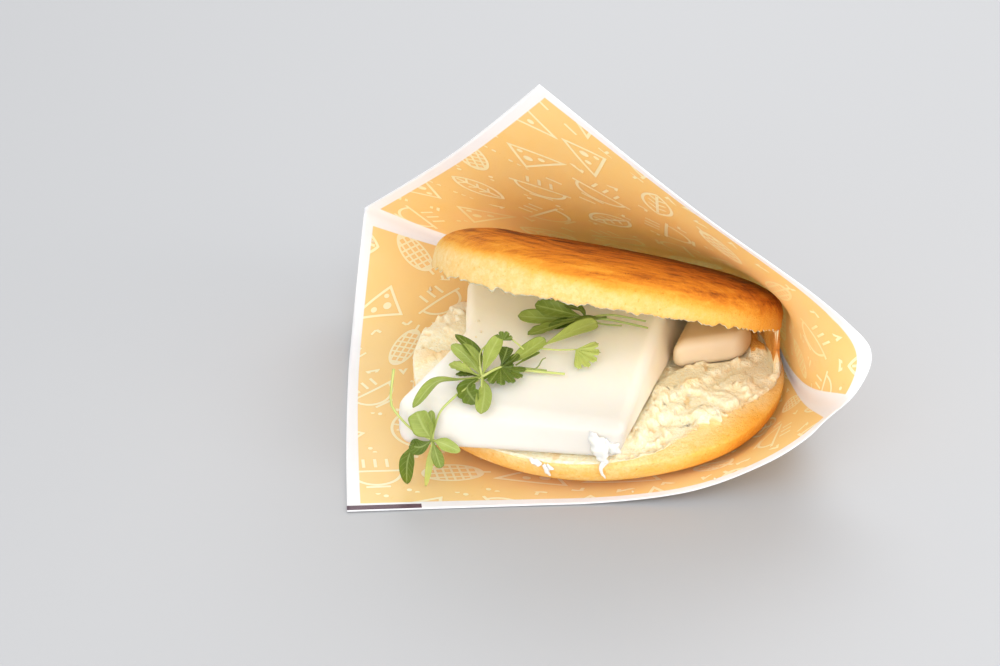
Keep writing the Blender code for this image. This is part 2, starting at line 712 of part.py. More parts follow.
def make_sleeve():
    lower, upper = sleeve_sheets()
    beyond_seam = lerp(0.05, 1.0, np.linspace(0.0, 1.0, SHEET_LINES) ** 1.25)
    lines = np.append([0.0, SEAM_WIDTH / SHEET_SIZE], beyond_seam)
    last = len(lines) - 1
    outer = {"lower": resampled(lower, lines), "upper": resampled(upper, lines)}
    inner = {"lower": outer["lower"] + PAPER * inward(outer["lower"], 1.0),
             "upper": outer["upper"] + PAPER * inward(outer["upper"], -1.0)}
    points = []
    index = {}

    def corner(layer, sheet, i, j):
        sealed = min(i, j) == (0 if layer == "outer" else 1)
        key = (layer, "both" if sealed else sheet, i, j)
        if key not in index:
            source = outer if layer == "outer" else inner
            place = source[sheet][i, j]
            if sealed:
                place = (source["lower"][i, j] + source["upper"][i, j]) / 2
            index[key] = len(points)
            points.append(tuple(place))
        return index[key]

    faces = []
    for sheet in ("lower", "upper"):
        for layer, start in (("outer", 0), ("inner", 1)):
            for i in range(start, last):
                for j in range(start, last):
                    faces.append([corner(layer, sheet, i, j), corner(layer, sheet, i + 1, j),
                                  corner(layer, sheet, i + 1, j + 1), corner(layer, sheet, i, j + 1)])
        for k in range(1, last):
            for a, b in (((last, k), (last, k + 1)), ((k, last), (k + 1, last))):
                faces.append([corner("outer", sheet, *a), corner("outer", sheet, *b),
                              corner("inner", sheet, *b), corner("inner", sheet, *a)])
    for seam, beside in (((last, 0), (last, 1)), ((0, last), (1, last))):
        faces.append([corner("outer", "lower", *seam), corner("outer", "lower", *beside),
                      corner("inner", "lower", *beside), corner("outer", "upper", *beside)])
    paper = material("greaseproof_paper", (0.90, 0.55, 0.25), 0.5)
    return mesh_object("paper_sleeve", points, faces, paper)


def main():
    for old in list(bpy.data.objects):
        bpy.data.objects.remove(old)
    make_sleeve()
    make_bread()
    make_cheese("cheese_slab", slab_place, SLAB_SIZE, SLAB_ROUNDING, (7, 6, 1))
    make_cheese("cheese_slice", slice_place, SLICE_SIZE, SLICE_ROUNDING, (4, 3, 1))
    make_sprig("sprig_middle", middle_sprig())
    make_sprig("sprig_back", back_sprig())
    make_sprig("sprig_front", front_sprig())


main()
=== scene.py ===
"""Looks of the cheese arepa in its paper sleeve: fine shapes, surfaces, light and camera.

Lengths are in centimetres up to mesh_of(), which turns them into metres.
X runs to the right, Y to the back and Z up, with the paper lying on Z = 0.
"""
import math
from functools import partialmethod
from itertools import product

import bmesh
import bpy
import numpy as np
from mathutils import Matrix, Vector, noise
from mathutils.bvhtree import BVHTree

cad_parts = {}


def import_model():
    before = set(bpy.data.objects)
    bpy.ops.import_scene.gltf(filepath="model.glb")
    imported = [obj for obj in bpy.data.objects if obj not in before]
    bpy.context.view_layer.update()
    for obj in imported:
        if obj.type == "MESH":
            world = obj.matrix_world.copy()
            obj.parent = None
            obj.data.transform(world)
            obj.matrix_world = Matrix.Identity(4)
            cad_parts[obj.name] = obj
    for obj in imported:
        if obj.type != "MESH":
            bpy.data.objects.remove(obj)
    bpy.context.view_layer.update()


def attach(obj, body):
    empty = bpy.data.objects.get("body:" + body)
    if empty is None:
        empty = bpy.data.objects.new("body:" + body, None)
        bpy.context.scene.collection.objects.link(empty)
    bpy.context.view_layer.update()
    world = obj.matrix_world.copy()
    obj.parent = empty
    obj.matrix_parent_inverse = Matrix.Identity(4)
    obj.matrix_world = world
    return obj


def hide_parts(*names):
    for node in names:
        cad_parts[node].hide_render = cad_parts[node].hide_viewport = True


CM = 0.01

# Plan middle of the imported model, which sits at the origin
MIDDLE = (3.214, 0.297)

# Bread
BREAD_CENTRE = (3.35, -0.05)
BREAD_RADIUS = 6.3
BREAD_UNDERSIDE = 0.09
WIDEST_LEVEL = 1.24
CRUMB_LEVEL = 1.50
SHOULDER_RISE = 0.50
TOP_HALF_RADIUS = 6.0
TOP_HALF_HEIGHT = 1.60
CRUST_POWER = 3.4
BREAD_SECTORS = 520
TEAR_HEADING = math.radians(-46.0)
BAY_HEADING = math.radians(-63.0)
HANGING_HEADING = math.radians(-132.0)
SWELL_HEADING = math.radians(-158.0)
CLIFF_HEIGHT = 0.16
LID_EDGE_HEIGHT = 0.16
# Heading, width in degrees and strength of the burnt patch and of a pale patch of painted light on the
# lid
LID_PATCHES = ((-149.0, 9.0, 0.42), (-75.0, 30.0, -0.13))
# Size, seed, lowest noise level and height of the torn plates of crumb
CRUMB_PLATES = ((1.7, 101.0, -0.05, 0.20), (1.0, 103.0, 0.10, 0.15))
# Depth, size and seed of the fine lumps of crumb
CRUMB_LUMPS = ((0.016, 0.40, 51.0), (0.013, 0.20, 53.0), (0.012, 0.10, 57.0))

# Hinge of the split bread, at its back right
HINGE_HEADING = math.radians(66.5)
HINGE_REACH = 5.05
GAPE = math.radians(27.0)
WEB_FROM = math.radians(-8.0)
WEB_TO = math.radians(124.0)
WEB_THICKNESS = 0.35

# Cheese: a long slab, and a slice at its right
CHEESE_GAP = 0.03
SLAB_BACK = 2.9
SLAB_TOP = 3.30
SLAB_SIZE = (8.4, 7.0, 1.6)
SLICE_LEFT = 5.8
SLICE_RIGHT = 8.65
SLICE_DEPTH = 2.2
SLICE_TOP = 2.62
SLICE_SIZE = (2.7, 2.2, 1.05)

# Paper sleeve
PAPER = 0.03
SHEET_SIZE = 16.0
PAPER_CLEARANCE = 0.17
SLEEVE_CELLS = 40
SEAM_WIDTH = 0.25
SHEET_LINES = 130
PRINT_PITCH = 2.50
# Field, lines of the drawings and unprinted margin of each side
PAPER_COLOURS = {
    "sleeve_outside": ((0.94, 0.54, 0.18), (0.97, 0.79, 0.47), (0.87, 0.86, 0.88)),
    "sleeve_inside": ((0.955, 0.58, 0.26), (0.98, 0.80, 0.52), (0.88, 0.855, 0.85))}
FREE_CORNER_BELOW = (-4.84, -6.93, 0.0)
LEFT_CORNER = (-4.90, 6.90, 3.90)
BACK_CORNER = (10.00, 7.45, 0.90)
RIGHT_CORNER = (10.84, -5.50, 3.00)
FREE_CORNER_ABOVE = (1.20, -4.28, 13.58)

# Camera, in metres before MIDDLE is taken off, with its pitch below level
CAMERA_PLACE = (0.03, -64.86, 39.68)
CAMERA_PITCH = math.radians(29.76)
CAMERA_LENS = 79.2


# Small tools

def smoothstep(low, high, value):
    """Rise smoothly from 0 at low to 1 at high."""
    t = min(max((value - low) / (high - low), 0.0), 1.0)
    return t * t * (3.0 - 2.0 * t)


def lerp(a, b, t):
    return a + (b - a) * t


def square(i, j):
    """Corners of a cell of a grid, in order round it."""
    return (i, j), (i + 1, j), (i + 1, j + 1), (i, j + 1)


def ripple(x, y, scale, seed=0.0):
    """Smooth noise over the plan, about -1 to 1, with lumps of the given size."""
    return noise.noise(Vector((x / scale, y / scale, seed)))


def layers(x, y, *parts):
    """Sum of ripples, each given by its height, lump size and seed."""
    return sum(height * ripple(x, y, scale, seed) for height, scale, seed in parts)


def chunks(x, y, scale, seed):
    """Pillowy lumps with creases between them, from 0 in a crease."""
    return abs(ripple(x, y, scale, seed)) * 2.0


def ring_ripple(angle, pace, seed):
    """Noise round a circle; pace is the number of lumps in one radian."""
    return noise.noise(Vector((pace * math.cos(angle), pace * math.sin(angle), seed)))


def smooth_between(a, b, c, d, t):
    """Point at t from b to c on a smooth curve that runs through all four."""
    return 0.5 * (2 * b + (c - a) * t + (2 * a - 5 * b + 4 * c - d) * t * t
                  + (3 * b - a - 3 * c + d) * t ** 3)


def curve_through(points, count):
    """Evenly spaced points on a smooth curve through the given ones."""
    points = [np.array(point, float) for point in points]
    padded = [2 * points[0] - points[1]] + points + [2 * points[-1] - points[-2]]
    dense = [smooth_between(*padded[k - 1:k + 3], t)
             for k in range(1, len(padded) - 2) for t in np.linspace(0.0, 1.0, 24, endpoint=False)]
    dense = np.array(dense + [points[-1]])
    run = np.concatenate([[0.0], np.cumsum(np.linalg.norm(np.diff(dense, axis=0), axis=1))])
    even = np.linspace(0.0, run[-1], count)
    return np.stack([np.interp(even, run, dense[:, axis]) for axis in range(3)], axis=1)


def mesh_of(name, points, faces, materials):
    """Smooth mesh from points in centimetres, with its faces pointing out."""
    metres = (np.asarray(points, float) - (*MIDDLE, 0.0)) * CM
    mesh = bpy.data.meshes.new(name)
    mesh.from_pydata(metres.tolist(), [], faces)
    shape = bmesh.new()
    shape.from_mesh(mesh)
    bmesh.ops.recalc_face_normals(shape, faces=shape.faces)
    shape.to_mesh(mesh)
    shape.free()
    for surface in materials:
        mesh.materials.append(surface)
    mesh.shade_smooth()
    return mesh


def add_piece(mesh, slot, node=None):
    """Add a mesh as a piece that rides on the part, in place of a node where one is given."""
    piece = bpy.data.objects.new(mesh.name, mesh)
    bpy.context.scene.collection.objects.link(piece)
    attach(piece, "root")
    if node:
        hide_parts(node)
    return piece


def plan_points(piece):
    """Points of a piece in centimetres, back in the plan of the sizes above."""
    count = len(piece.data.vertices)
    flat = np.zeros(count * 3)
    piece.data.vertices.foreach_get("co", flat)
    return flat.reshape(count, 3) / CM + (*MIDDLE, 0.0)


def give_values(piece, name, values):
    """Store one number a point on a piece, for its material to read."""
    layer = piece.data.attributes.new(name, "FLOAT", "POINT")
    layer.data.foreach_set("value", np.asarray(values, np.float32))


def give_map(piece, name, places, shift=0.0):
    """Give each corner of a piece its point's place on a flat map, moved along by shift."""
    corners = np.zeros(len(piece.data.loops), np.int32)
    piece.data.loops.foreach_get("vertex_index", corners)
    spread = np.array(places)[corners]
    spread[:, 0] += shift
    layer = piece.data.uv_layers.new(name=name)
    layer.data.foreach_set("uv", spread.astype(np.float32).ravel())


def skin(rings, first, last):
    """Close a stack of equal rings with a point at each end."""
    count = len(rings[0])
    points = [first] + [point for ring in rings for point in ring] + [last]
    faces = []
    for k in range(count):
        step = (k + 1) % count
        faces.append((0, 1 + step, 1 + k))
        for low in range(1, 1 + (len(rings) - 1) * count, count):
            high = low + count
            faces.append((low + k, low + step, high + step, high + k))
        top = 1 + (len(rings) - 1) * count
        faces.append((top + k, top + step, len(points) - 1))
    return points, faces


def gathered(shapes):
    """Put several shapes into one list of points and one of faces."""
    points, faces = [], []
    for shape_points, shape_faces in shapes:
        start = len(points)
        points += [tuple(point) for point in shape_points]
        faces += [tuple(start + corner for corner in face) for face in shape_faces]
    return points, faces


def frames(path, guide):
    """Each point of a path with its two crosswise directions, the first square to the guide."""
    last = len(path) - 1
    for k, centre in enumerate(path):
        ahead = path[min(k + 1, last)] - path[max(k - 1, 0)]
        side = np.cross(ahead, guide)
        side /= np.linalg.norm(side)
        rise = np.cross(side, ahead)
        yield centre, side, rise / np.linalg.norm(rise)


# Node tools

def plug(tree, value, target):
    """Feed an input from a field or another node's output, or set it to a number or a colour."""
    if isinstance(value, Field):
        value = value.socket
    if isinstance(value, bpy.types.NodeSocket):
        tree.links.new(value, target)
    elif target.type == "RGBA":
        target.default_value = (*value, 1.0)
    else:
        target.default_value = value


def add_node(tree, kind, inputs, **settings):
    node = tree.nodes.new("ShaderNode" + kind)
    for setting, value in settings.items():
        setattr(node, setting, value)
    for key, value in inputs.items():
        plug(tree, value, node.inputs[key])
    return node


class Field:
    """A number in a material's node tree, used in sums like a plain number."""

    def __init__(self, tree, socket):
        self.tree = tree
        self.socket = socket

    def sum(self, operation, *others):
        """What a maths operation makes of this number and the others."""
        node = add_node(self.tree, "Math", dict(enumerate((self, *others))), operation=operation)
        return Field(self.tree, node.outputs[0])

    __add__ = partialmethod(sum, "ADD")
    __sub__ = partialmethod(sum, "SUBTRACT")
    __mul__ = partialmethod(sum, "MULTIPLY")
    __truediv__ = partialmethod(sum, "DIVIDE")
    abs = partialmethod(sum, "ABSOLUTE")
    floor = partialmethod(sum, "FLOOR")
    root = partialmethod(sum, "SQRT")
    least = partialmethod(sum, "MINIMUM")
    most = partialmethod(sum, "MAXIMUM")
    modulo = partialmethod(sum, "FLOORED_MODULO")

    def flipped(self):
        return self * -1.0 + 1.0

    def from_middle(self, pitch):
        """Distance from the nearest whole multiple of pitch, from minus to plus half of it."""
        return (self + pitch / 2).modulo(pitch) - pitch / 2

    def rising(self, low, high):
        """0 below low, 1 above high."""
        node = add_node(self.tree, "MapRange", {"Value": self, "From Min": low, "From Max": high},
                        interpolation_type="SMOOTHSTEP")
        return Field(self.tree, node.outputs["Result"])

    def under(self, limit, soft=0.012):
        """1 below the limit, 0 above it."""
        return self.rising(limit - soft, limit + soft).flipped()

    def within(self, low, high, soft=0.012):
        return self.rising(low - soft, low + soft) * self.under(high, soft)

    def mixed(self, low, high):
        """Colour that goes from low to high as this number goes from 0 to 1."""
        return add_node(self.tree, "Mix", {0: self, 6: low, 7: high}, data_type="RGBA").outputs[2]


def new_material(name, roughness, specular=0.5):
    surface = bpy.data.materials.new(name)
    surface.use_nodes = True
    tree = surface.node_tree
    shader = tree.nodes["Principled BSDF"]
    shader.inputs["Roughness"].default_value = roughness
    shader.inputs["Specular IOR Level"].default_value = specular
    return surface, tree, shader


def let_light_in(shader, weight, radius, scale_cm):
    """Scatter light under the surface."""
    shader.inputs["Subsurface Weight"].default_value = weight
    shader.inputs["Subsurface Radius"].default_value = radius
    shader.inputs["Subsurface Scale"].default_value = scale_cm * CM


def read_value(tree, name):
    return Field(tree, add_node(tree, "Attribute", {}, attribute_name=name).outputs["Fac"])


def read_map(tree, name):
    return split(tree, add_node(tree, "UVMap", {}, uv_map=name).outputs[0])


def split(tree, vector):
    node = add_node(tree, "SeparateXYZ", {0: vector})
    return Field(tree, node.outputs[0]), Field(tree, node.outputs[1])


def place_field(tree):
    """Position on the object, in centimetres."""
    place = tree.nodes.new("ShaderNodeTexCoord").outputs["Object"]
    return add_node(tree, "VectorMath", {0: place, "Scale": 1.0 / CM}, operation="SCALE").outputs[0]


def noise_field(tree, place, size, detail=3.0, roughness=0.55, stretch=(1.0, 1.0, 1.0)):
    """Noise from 0 to 1 with lumps of the given size in centimetres."""
    pace = [axis / size for axis in stretch]
    scaled = add_node(tree, "VectorMath", {0: place, 1: pace}, operation="MULTIPLY").outputs[0]
    node = add_node(tree, "TexNoise", {"Vector": scaled, "Scale": 1.0, "Detail": detail,
                                       "Roughness": roughness})
    return Field(tree, node.outputs["Fac"])


def colour_ramp(tree, value, stops):
    node = add_node(tree, "ValToRGB", {0: value})
    elements = node.color_ramp.elements
    while len(elements) < len(stops):
        elements.new(0.5)
    for element, (position, colour) in zip(elements, stops):
        element.position = position
        element.color = (*colour, 1.0)
    return node.outputs["Color"]


def add_bump(tree, shader, height, distance_cm, strength=1.0):
    node = add_node(tree, "Bump", {"Height": height, "Distance": distance_cm * CM,
                                   "Strength": strength})
    tree.links.new(node.outputs["Normal"], shader.inputs["Normal"])


# Hinge: the top half is modelled shut and swung open about its back right

HINGE_BACK = np.array([math.cos(HINGE_HEADING), math.sin(HINGE_HEADING), 0.0])
HINGE_AXIS = np.array([-math.sin(HINGE_HEADING), math.cos(HINGE_HEADING), 0.0])
SHUT_CENTRE = np.array([BREAD_CENTRE[0], BREAD_CENTRE[1], CRUMB_LEVEL])
HINGE_POINT = SHUT_CENTRE + HINGE_BACK * HINGE_REACH
SWING = np.array(Matrix.Rotation(GAPE, 3, Vector(HINGE_AXIS)))


def swing_open(points):
    """Place points given about the shut top half's middle."""
    return (np.asarray(points) + SHUT_CENTRE - HINGE_POINT) @ SWING.T + HINGE_POINT


def swing_shut(points):
    """Give placed points about the shut top half's middle."""
    return (np.asarray(points) - HINGE_POINT) @ SWING + HINGE_POINT - SHUT_CENTRE


def ceiling(x, y):
    """Height of the top half's crumb face over a plan point."""
    ahead = (HINGE_POINT[0] - x) * HINGE_BACK[0] + (HINGE_POINT[1] - y) * HINGE_BACK[1]
    return CRUMB_LEVEL + math.tan(GAPE) * ahead


def about_middle(x, y):
    """Heading and distance of a point from the middle of the bread."""
    across = x - BREAD_CENTRE[0]
    behind = y - BREAD_CENTRE[1]
    return math.atan2(behind, across), math.hypot(across, behind)


# Cheese outlines, which the crumb under them follows too

def slab_left(y):
    """Left side of the slab, which spreads towards the front."""
    spread = min(max((-0.4 - y) / 4.2, 0.0), 1.0)
    return -1.12 - 2.10 * spread ** 1.3


def slab_right(y):
    return 5.51 + 0.24 * y


def slab_spread(y):
    """How far the foot of the slab's right side stands out past its top."""
    return 0.50 + 0.12 * y


def slab_top(x, y):
    """Top of the slab, sagging to the front and pressed by the bread behind."""
    sag = 0.014 * max(0.5 - y, 0.0) ** 2
    return min(SLAB_TOP - sag, ceiling(x, y) - 0.12)


def cheese_floor(x, y):
    """Underside of the cheese, which droops where it hangs past the bread."""
    return CRUMB_LEVEL + CHEESE_GAP - 0.10 * smoothstep(6.5, 8.2, about_middle(x, y)[1])


def slice_front(x):
    return -0.88 + 0.28 * (x - SLICE_LEFT)


def under_cheese(x, y):
    """1 under the cheese, falling to 0 at its edges."""
    past_slab = max(slab_left(y) - x, x - slab_right(y) - slab_spread(y), y - SLAB_BACK)
    behind = y - slice_front(x)
    past_slice = max(SLICE_LEFT - x, x - SLICE_RIGHT, -behind, behind - SLICE_DEPTH)
    return 1.0 - smoothstep(-0.28, 0.10, min(past_slab, past_slice))


# Bread

def rim_radius(angle):
    """Outline of the bread, slightly out of round."""
    uneven = 0.010 * math.sin(2 * angle + 0.6) + 0.007 * math.sin(3 * angle + 2.0)
    return BREAD_RADIUS * (1.0 + uneven + 0.003 * math.sin(7 * angle + 1.0))


def upper_radius(angle):
    """Outline of the top half, a little smaller than the bottom half."""
    return rim_radius(angle) * TOP_HALF_RADIUS / BREAD_RADIUS


def bulge(angle, heading, width):
    """1 at a heading, falling off to both sides like a bell."""
    return math.exp(-(math.remainder(angle - heading, 2 * math.pi) / width) ** 2)


def hanging(angle):
    """How far the torn edge of the top half hangs below its crumb face, at the front left."""
    return 0.16 * bulge(angle, HANGING_HEADING, 0.5)


def crust_ring(angle, climb, height, power):
    """Radius and height on a crust's rounded side; climb runs from 0 at the rim to 90 degrees."""
    out = max(math.cos(climb), 0.0) ** (2.0 / power)
    up = math.sin(climb) ** (2.0 / power)
    return rim_radius(angle) * out, height * up


def tear_depth(angle):
    """How far the torn crumb stands back from the rim, mostly at the front right."""
    return bulge(angle, TEAR_HEADING, 0.62)


def crumb_shelf(x, y):
    """1 on the upper layer of torn crumb, 0 on the lower one near the front right."""
    angle, reach = about_middle(x, y)
    edge = 5.35 - 1.30 * bulge(angle, BAY_HEADING, 0.22)
    edge += layers(x, y, (0.50, 0.8, 41.0), (0.25, 0.3, 43.0))
    beyond = smoothstep(edge - 0.06, edge + 0.12, reach)
    return 1.0 - beyond * smoothstep(0.25, 0.6, tear_depth(angle))


def plates(x, y):
    """Heights of the torn layers, and how near a point is to the foot of one."""
    height = 0.0
    foot = 0.0
    for size, seed, limit, rise in CRUMB_PLATES:
        level = ripple(x, y, size, seed) - limit
        level += layers(x, y, (0.16, 0.34, seed + 1), (0.08, 0.12, seed + 2))
        height += rise * smoothstep(-0.05, 0.09, level)
        foot = max(foot, smoothstep(-0.12, -0.02, level) * smoothstep(0.05, 0.0, level))
    return height, foot


def crumb_relief(x, y):
    """Height of the torn crumb apart from its level, and its painted shade in pits and at plate feet."""
    height, foot = plates(x, y)
    coarse = layers(x, y, (0.07, 1.8, 3.0), (0.03, 0.7, 7.0))
    fine = sum(depth * (chunks(x, y, size, seed) - 0.35) for depth, size, seed in CRUMB_LUMPS)
    pit = smoothstep(0.40, 0.55, ripple(x, y, 0.40, 61.0) + 0.35 * ripple(x, y, 0.15, 63.0))
    step = 1.0 - crumb_shelf(x, y)
    return height - 0.12 + coarse + fine - 0.09 * pit - 0.20 * step, max(0.6 * pit, 0.45 * foot)


def crumb_height(x, y):
    """Torn crumb of the bottom half: level under the cheese, rough beside it."""
    angle, reach = about_middle(x, y)
    open_crumb = 1.0 - under_cheese(x, y)
    rounding = 0.10 * smoothstep(5.5, 6.3, reach)
    left_rise = 0.28 * smoothstep(-0.8, -2.2, x)
    right_rise = 0.12 * smoothstep(5.5, 6.5, x) + 0.12 * tear_depth(angle)
    return CRUMB_LEVEL - rounding + open_crumb * (left_rise + right_rise + crumb_relief(x, y)[0])


def spoke(angle, radius, height):
    return radius * math.cos(angle), radius * math.sin(angle), height


def polar(angle, radius, height):
    """Point at an angle and a radius about the middle of the bread."""
    x, y, _ = spoke(angle, radius, height)
    return BREAD_CENTRE[0] + x, BREAD_CENTRE[1] + y, height


def turned(spot, stages):
    """Rings round the bread, one a stage; spot gives the point at an angle and a stage."""
    angles = [2 * math.pi * k / BREAD_SECTORS for k in range(BREAD_SECTORS)]
    return [[spot(angle, stage) for angle in angles] for stage in stages]


def lip(angle, part=1.0):
    """Radius and level of the crust's ragged lip, or of a part of the way up to it."""
    jag = 0.14 * ring_ripple(angle, 9, 11.0) + 0.10 * ring_ripple(angle, 24, 13.0)
    jag += 0.05 * ring_ripple(angle, 70, 15.0)
    jag *= 0.4 + 1.2 * tear_depth(angle)
    climb = math.radians(5 + 28 * tear_depth(angle)) * (1.0 - 1.1 * jag)
    radius, rise = crust_ring(angle, climb * part, SHOULDER_RISE, 2.0)
    return radius, WIDEST_LEVEL + rise


def bottom_half():
    """Crust cup with a ragged layer of crumb on it."""
    depth = WIDEST_LEVEL - BREAD_UNDERSIDE

    def outside(angle, climb):
        radius, drop = crust_ring(angle, climb, depth, CRUST_POWER)
        return polar(angle, radius, WIDEST_LEVEL - drop)

    def cliff(angle, stage):
        back, up = stage
        radius, level = lip(angle)
        top = crumb_height(*polar(angle, radius - 0.1, 0.0)[:2])
        radius = radius - back + 0.03 * ring_ripple(angle, 45, 90.0 + 40 * up)
        return polar(angle, radius, lerp(level, max(top, level + 0.04), up / CLIFF_HEIGHT))

    def crumb(angle, inward):
        radius, level = lip(angle)
        x, y, _ = polar(angle, max(radius - inward, 0.12), 0.0)
        return x, y, max(crumb_height(x, y), level + 0.05 - 0.9 * inward)

    inwards = [0.10]
    while inwards[-1] < 6.1:
        inwards.append(inwards[-1] + min(0.055 + 0.012 * inwards[-1], 0.16))
    rings = turned(outside, np.linspace(math.radians(82), 0.0, 26))
    rings += turned(lambda angle, part: polar(angle, *lip(angle, part)), np.linspace(0.12, 1.0, 12))
    rings += turned(cliff, ((0.02, 0.03), (-0.03, 0.10), (0.02, CLIFF_HEIGHT)))
    rings += turned(crumb, inwards[:-1])
    return skin(rings, polar(0.0, 0.0, BREAD_UNDERSIDE), polar(0.0, 0.0, crumb_height(*BREAD_CENTRE)))


def top_half():
    """Lid of the bread: toasted crust above, ragged crumb below."""
    side = LID_EDGE_HEIGHT

    def under(angle, inward):
        x, y, _ = spoke(angle, upper_radius(angle) - inward, 0.0)
        return x, y, 0.10 + layers(x, y, (0.05, 0.8, 5.0), (0.035, 0.3, 6.0), (0.02, 0.13, 8.0))

    def torn_edge(angle, stage):
        back, part = stage
        jag = 0.08 * ring_ripple(angle, 8, 17.0) + 0.07 * ring_ripple(angle, 20, 23.0)
        jag -= 0.16 * max(ring_ripple(angle, 17, 25.0) - 0.12, 0.0) ** 0.7
        jag += (0.05 + 0.16 * abs(ring_ripple(angle, 6, 26.0))) * ring_ripple(angle, 33, 27.0)
        jag += 0.05 * ring_ripple(angle, 66, 28.0)
        radius = upper_radius(angle) - back + 0.03 * ring_ripple(angle, 40, 29.0)
        return spoke(angle, radius, lerp(side - 0.04, jag - 0.02 - hanging(angle), part))

    def crust(angle, climb):
        radius, rise = crust_ring(angle, climb, TOP_HALF_HEIGHT - side, CRUST_POWER)
        radius *= TOP_HALF_RADIUS / BREAD_RADIUS
        x, y, _ = spoke(angle, radius, 0.0)
        dent = layers(x, y, (0.035, 1.7, 71.0 + rise), (0.014, 0.6, 73.0 + 2 * rise),
                      (0.014, 0.25, 75.0 + 4 * rise))
        swell = 0.17 * bulge(angle, SWELL_HEADING, 0.55)
        rise += swell * smoothstep(0.5, 1.3, rise) * smoothstep(2.4, 4.2, radius)
        scale = 1.0 - 0.004 - 0.5 * abs(dent) / TOP_HALF_RADIUS
        return x * scale, y * scale, side + rise - max(dent, 0.0) * rise / TOP_HALF_HEIGHT

    steep = math.radians(84)
    rings = turned(under, np.linspace(5.4, 0.22, 36))
    rings += turned(torn_edge, ((0.16, 0.55), (0.10, 1.0), (0.055, 0.75), (0.03, 0.35)))
    rings += turned(crust, np.linspace(0.0, steep, 46) ** 1.25 / steep ** 0.25)
    points, faces = skin(rings, (0.0, 0.0, 0.10), (0.0, 0.0, TOP_HALF_HEIGHT))
    return swing_open(points), faces


def hinge_web():
    """The unsplit crust that still joins the two halves round the back right."""
    steps = 150
    rings = []
    for k in range(steps + 1):
        angle = lerp(WEB_FROM, WEB_TO, k / steps)
        end = smoothstep(0.0, 0.12, k / steps) * smoothstep(1.0, 0.88, k / steps)
        thickness = WEB_THICKNESS * (0.6 + 0.4 * end)
        foot = rim_radius(angle) - 0.15
        head = upper_radius(angle) - 0.12
        upper = swing_open([spoke(angle, reach, 0.35) for reach in (head, head - thickness)])
        upper[:, 2] = np.maximum(upper[:, 2], CRUMB_LEVEL + 0.05)
        lower = np.array([polar(angle, reach, CRUMB_LEVEL - 0.25) for reach in (foot, foot - thickness)])
        parts = np.linspace(0.0, 1.0, 14)
        outer = [lerp(lower[0], upper[0], part) for part in parts]
        inner = [lerp(upper[1], lower[1], part) for part in parts]
        for row, point in enumerate(inner):
            arch = math.sin(math.pi * row / 13)
            rough = layers(angle * 6, point[2], (0.10 * arch, 0.8, 81.0), (0.04 * arch, 0.25, 83.0))
            point += spoke(angle, rough, 0.0)
        rings.append(outer + inner)
    return skin(rings, np.mean(rings[0], axis=0), np.mean(rings[-1], axis=0))


def bread_material():
    surface, tree, shader = new_material("baked_corn_bread", 0.62, 0.18)
    let_light_in(shader, 0.25, (1.0, 0.92, 0.80), 0.15)
    place = place_field(tree)
    toast_and_shade = read_value(tree, "toast_and_shade")
    crumb = read_value(tree, "crumb")
    painted_hollow_shade = read_value(tree, "painted_hollow_shade")
    patches = noise_field(tree, place, 1.4, 3.0)
    streaks = noise_field(tree, place, 0.22, 4.0, 0.6, (0.22, 1.0, 1.0))
    lines = noise_field(tree, place, 0.10, 3.0, 0.6, (0.20, 1.0, 1.0))
    grain = noise_field(tree, place, 0.20, 4.0, 0.65)
    granules = noise_field(tree, place, 0.085, 3.0, 0.6)
    specks = noise_field(tree, place, 0.10, 1.0)
    browned = toast_and_shade.rising(0.26, 0.55)
    level = toast_and_shade + (patches - 0.5) * 0.30 * toast_and_shade.rising(0.05, 0.5)
    level = level + (streaks - 0.5) * 0.62 * browned + (lines - 0.5) * 0.40 * browned
    level = level + (grain - 0.5) * 0.13 + (granules - 0.5) * 0.16
    level = level + specks.rising(0.69, 0.76) * 0.16
    crust = colour_ramp(tree, level, [
        (0.00, (0.92, 0.66, 0.28)), (0.10, (0.91, 0.56, 0.18)), (0.22, (0.89, 0.49, 0.095)),
        (0.36, (0.83, 0.36, 0.038)), (0.52, (0.73, 0.26, 0.021)), (0.69, (0.58, 0.175, 0.015)),
        (0.86, (0.30, 0.080, 0.010)), (1.00, (0.14, 0.040, 0.010))])
    flour = noise_field(tree, place, 0.26, 5.0, 0.65).rising(0.44, 0.60)
    crust = (flour * toast_and_shade.rising(0.34, 0.02) * 0.34).mixed(crust, (0.96, 0.76, 0.42))
    pale = (grain * 0.5 + granules * 0.5).rising(0.35, 0.65)
    pale = pale.mixed((1.0, 0.86, 0.56), (1.0, 0.94, 0.74))
    # Painted shade: tan in pits, at the feet of the plates, on cliff faces and inside the hinge web.
    torn = painted_hollow_shade.rising(0.05, 0.95).mixed(pale, (0.90, 0.56, 0.19))
    tree.links.new(crumb.rising(0.30, 0.62).mixed(crust, torn), shader.inputs["Base Color"])
    pores = noise_field(tree, place, 0.05, 2.0)
    add_bump(tree, shader, grain + granules * 0.9 + pores * 0.5 + streaks * 0.3, 0.06, 0.75)
    return surface


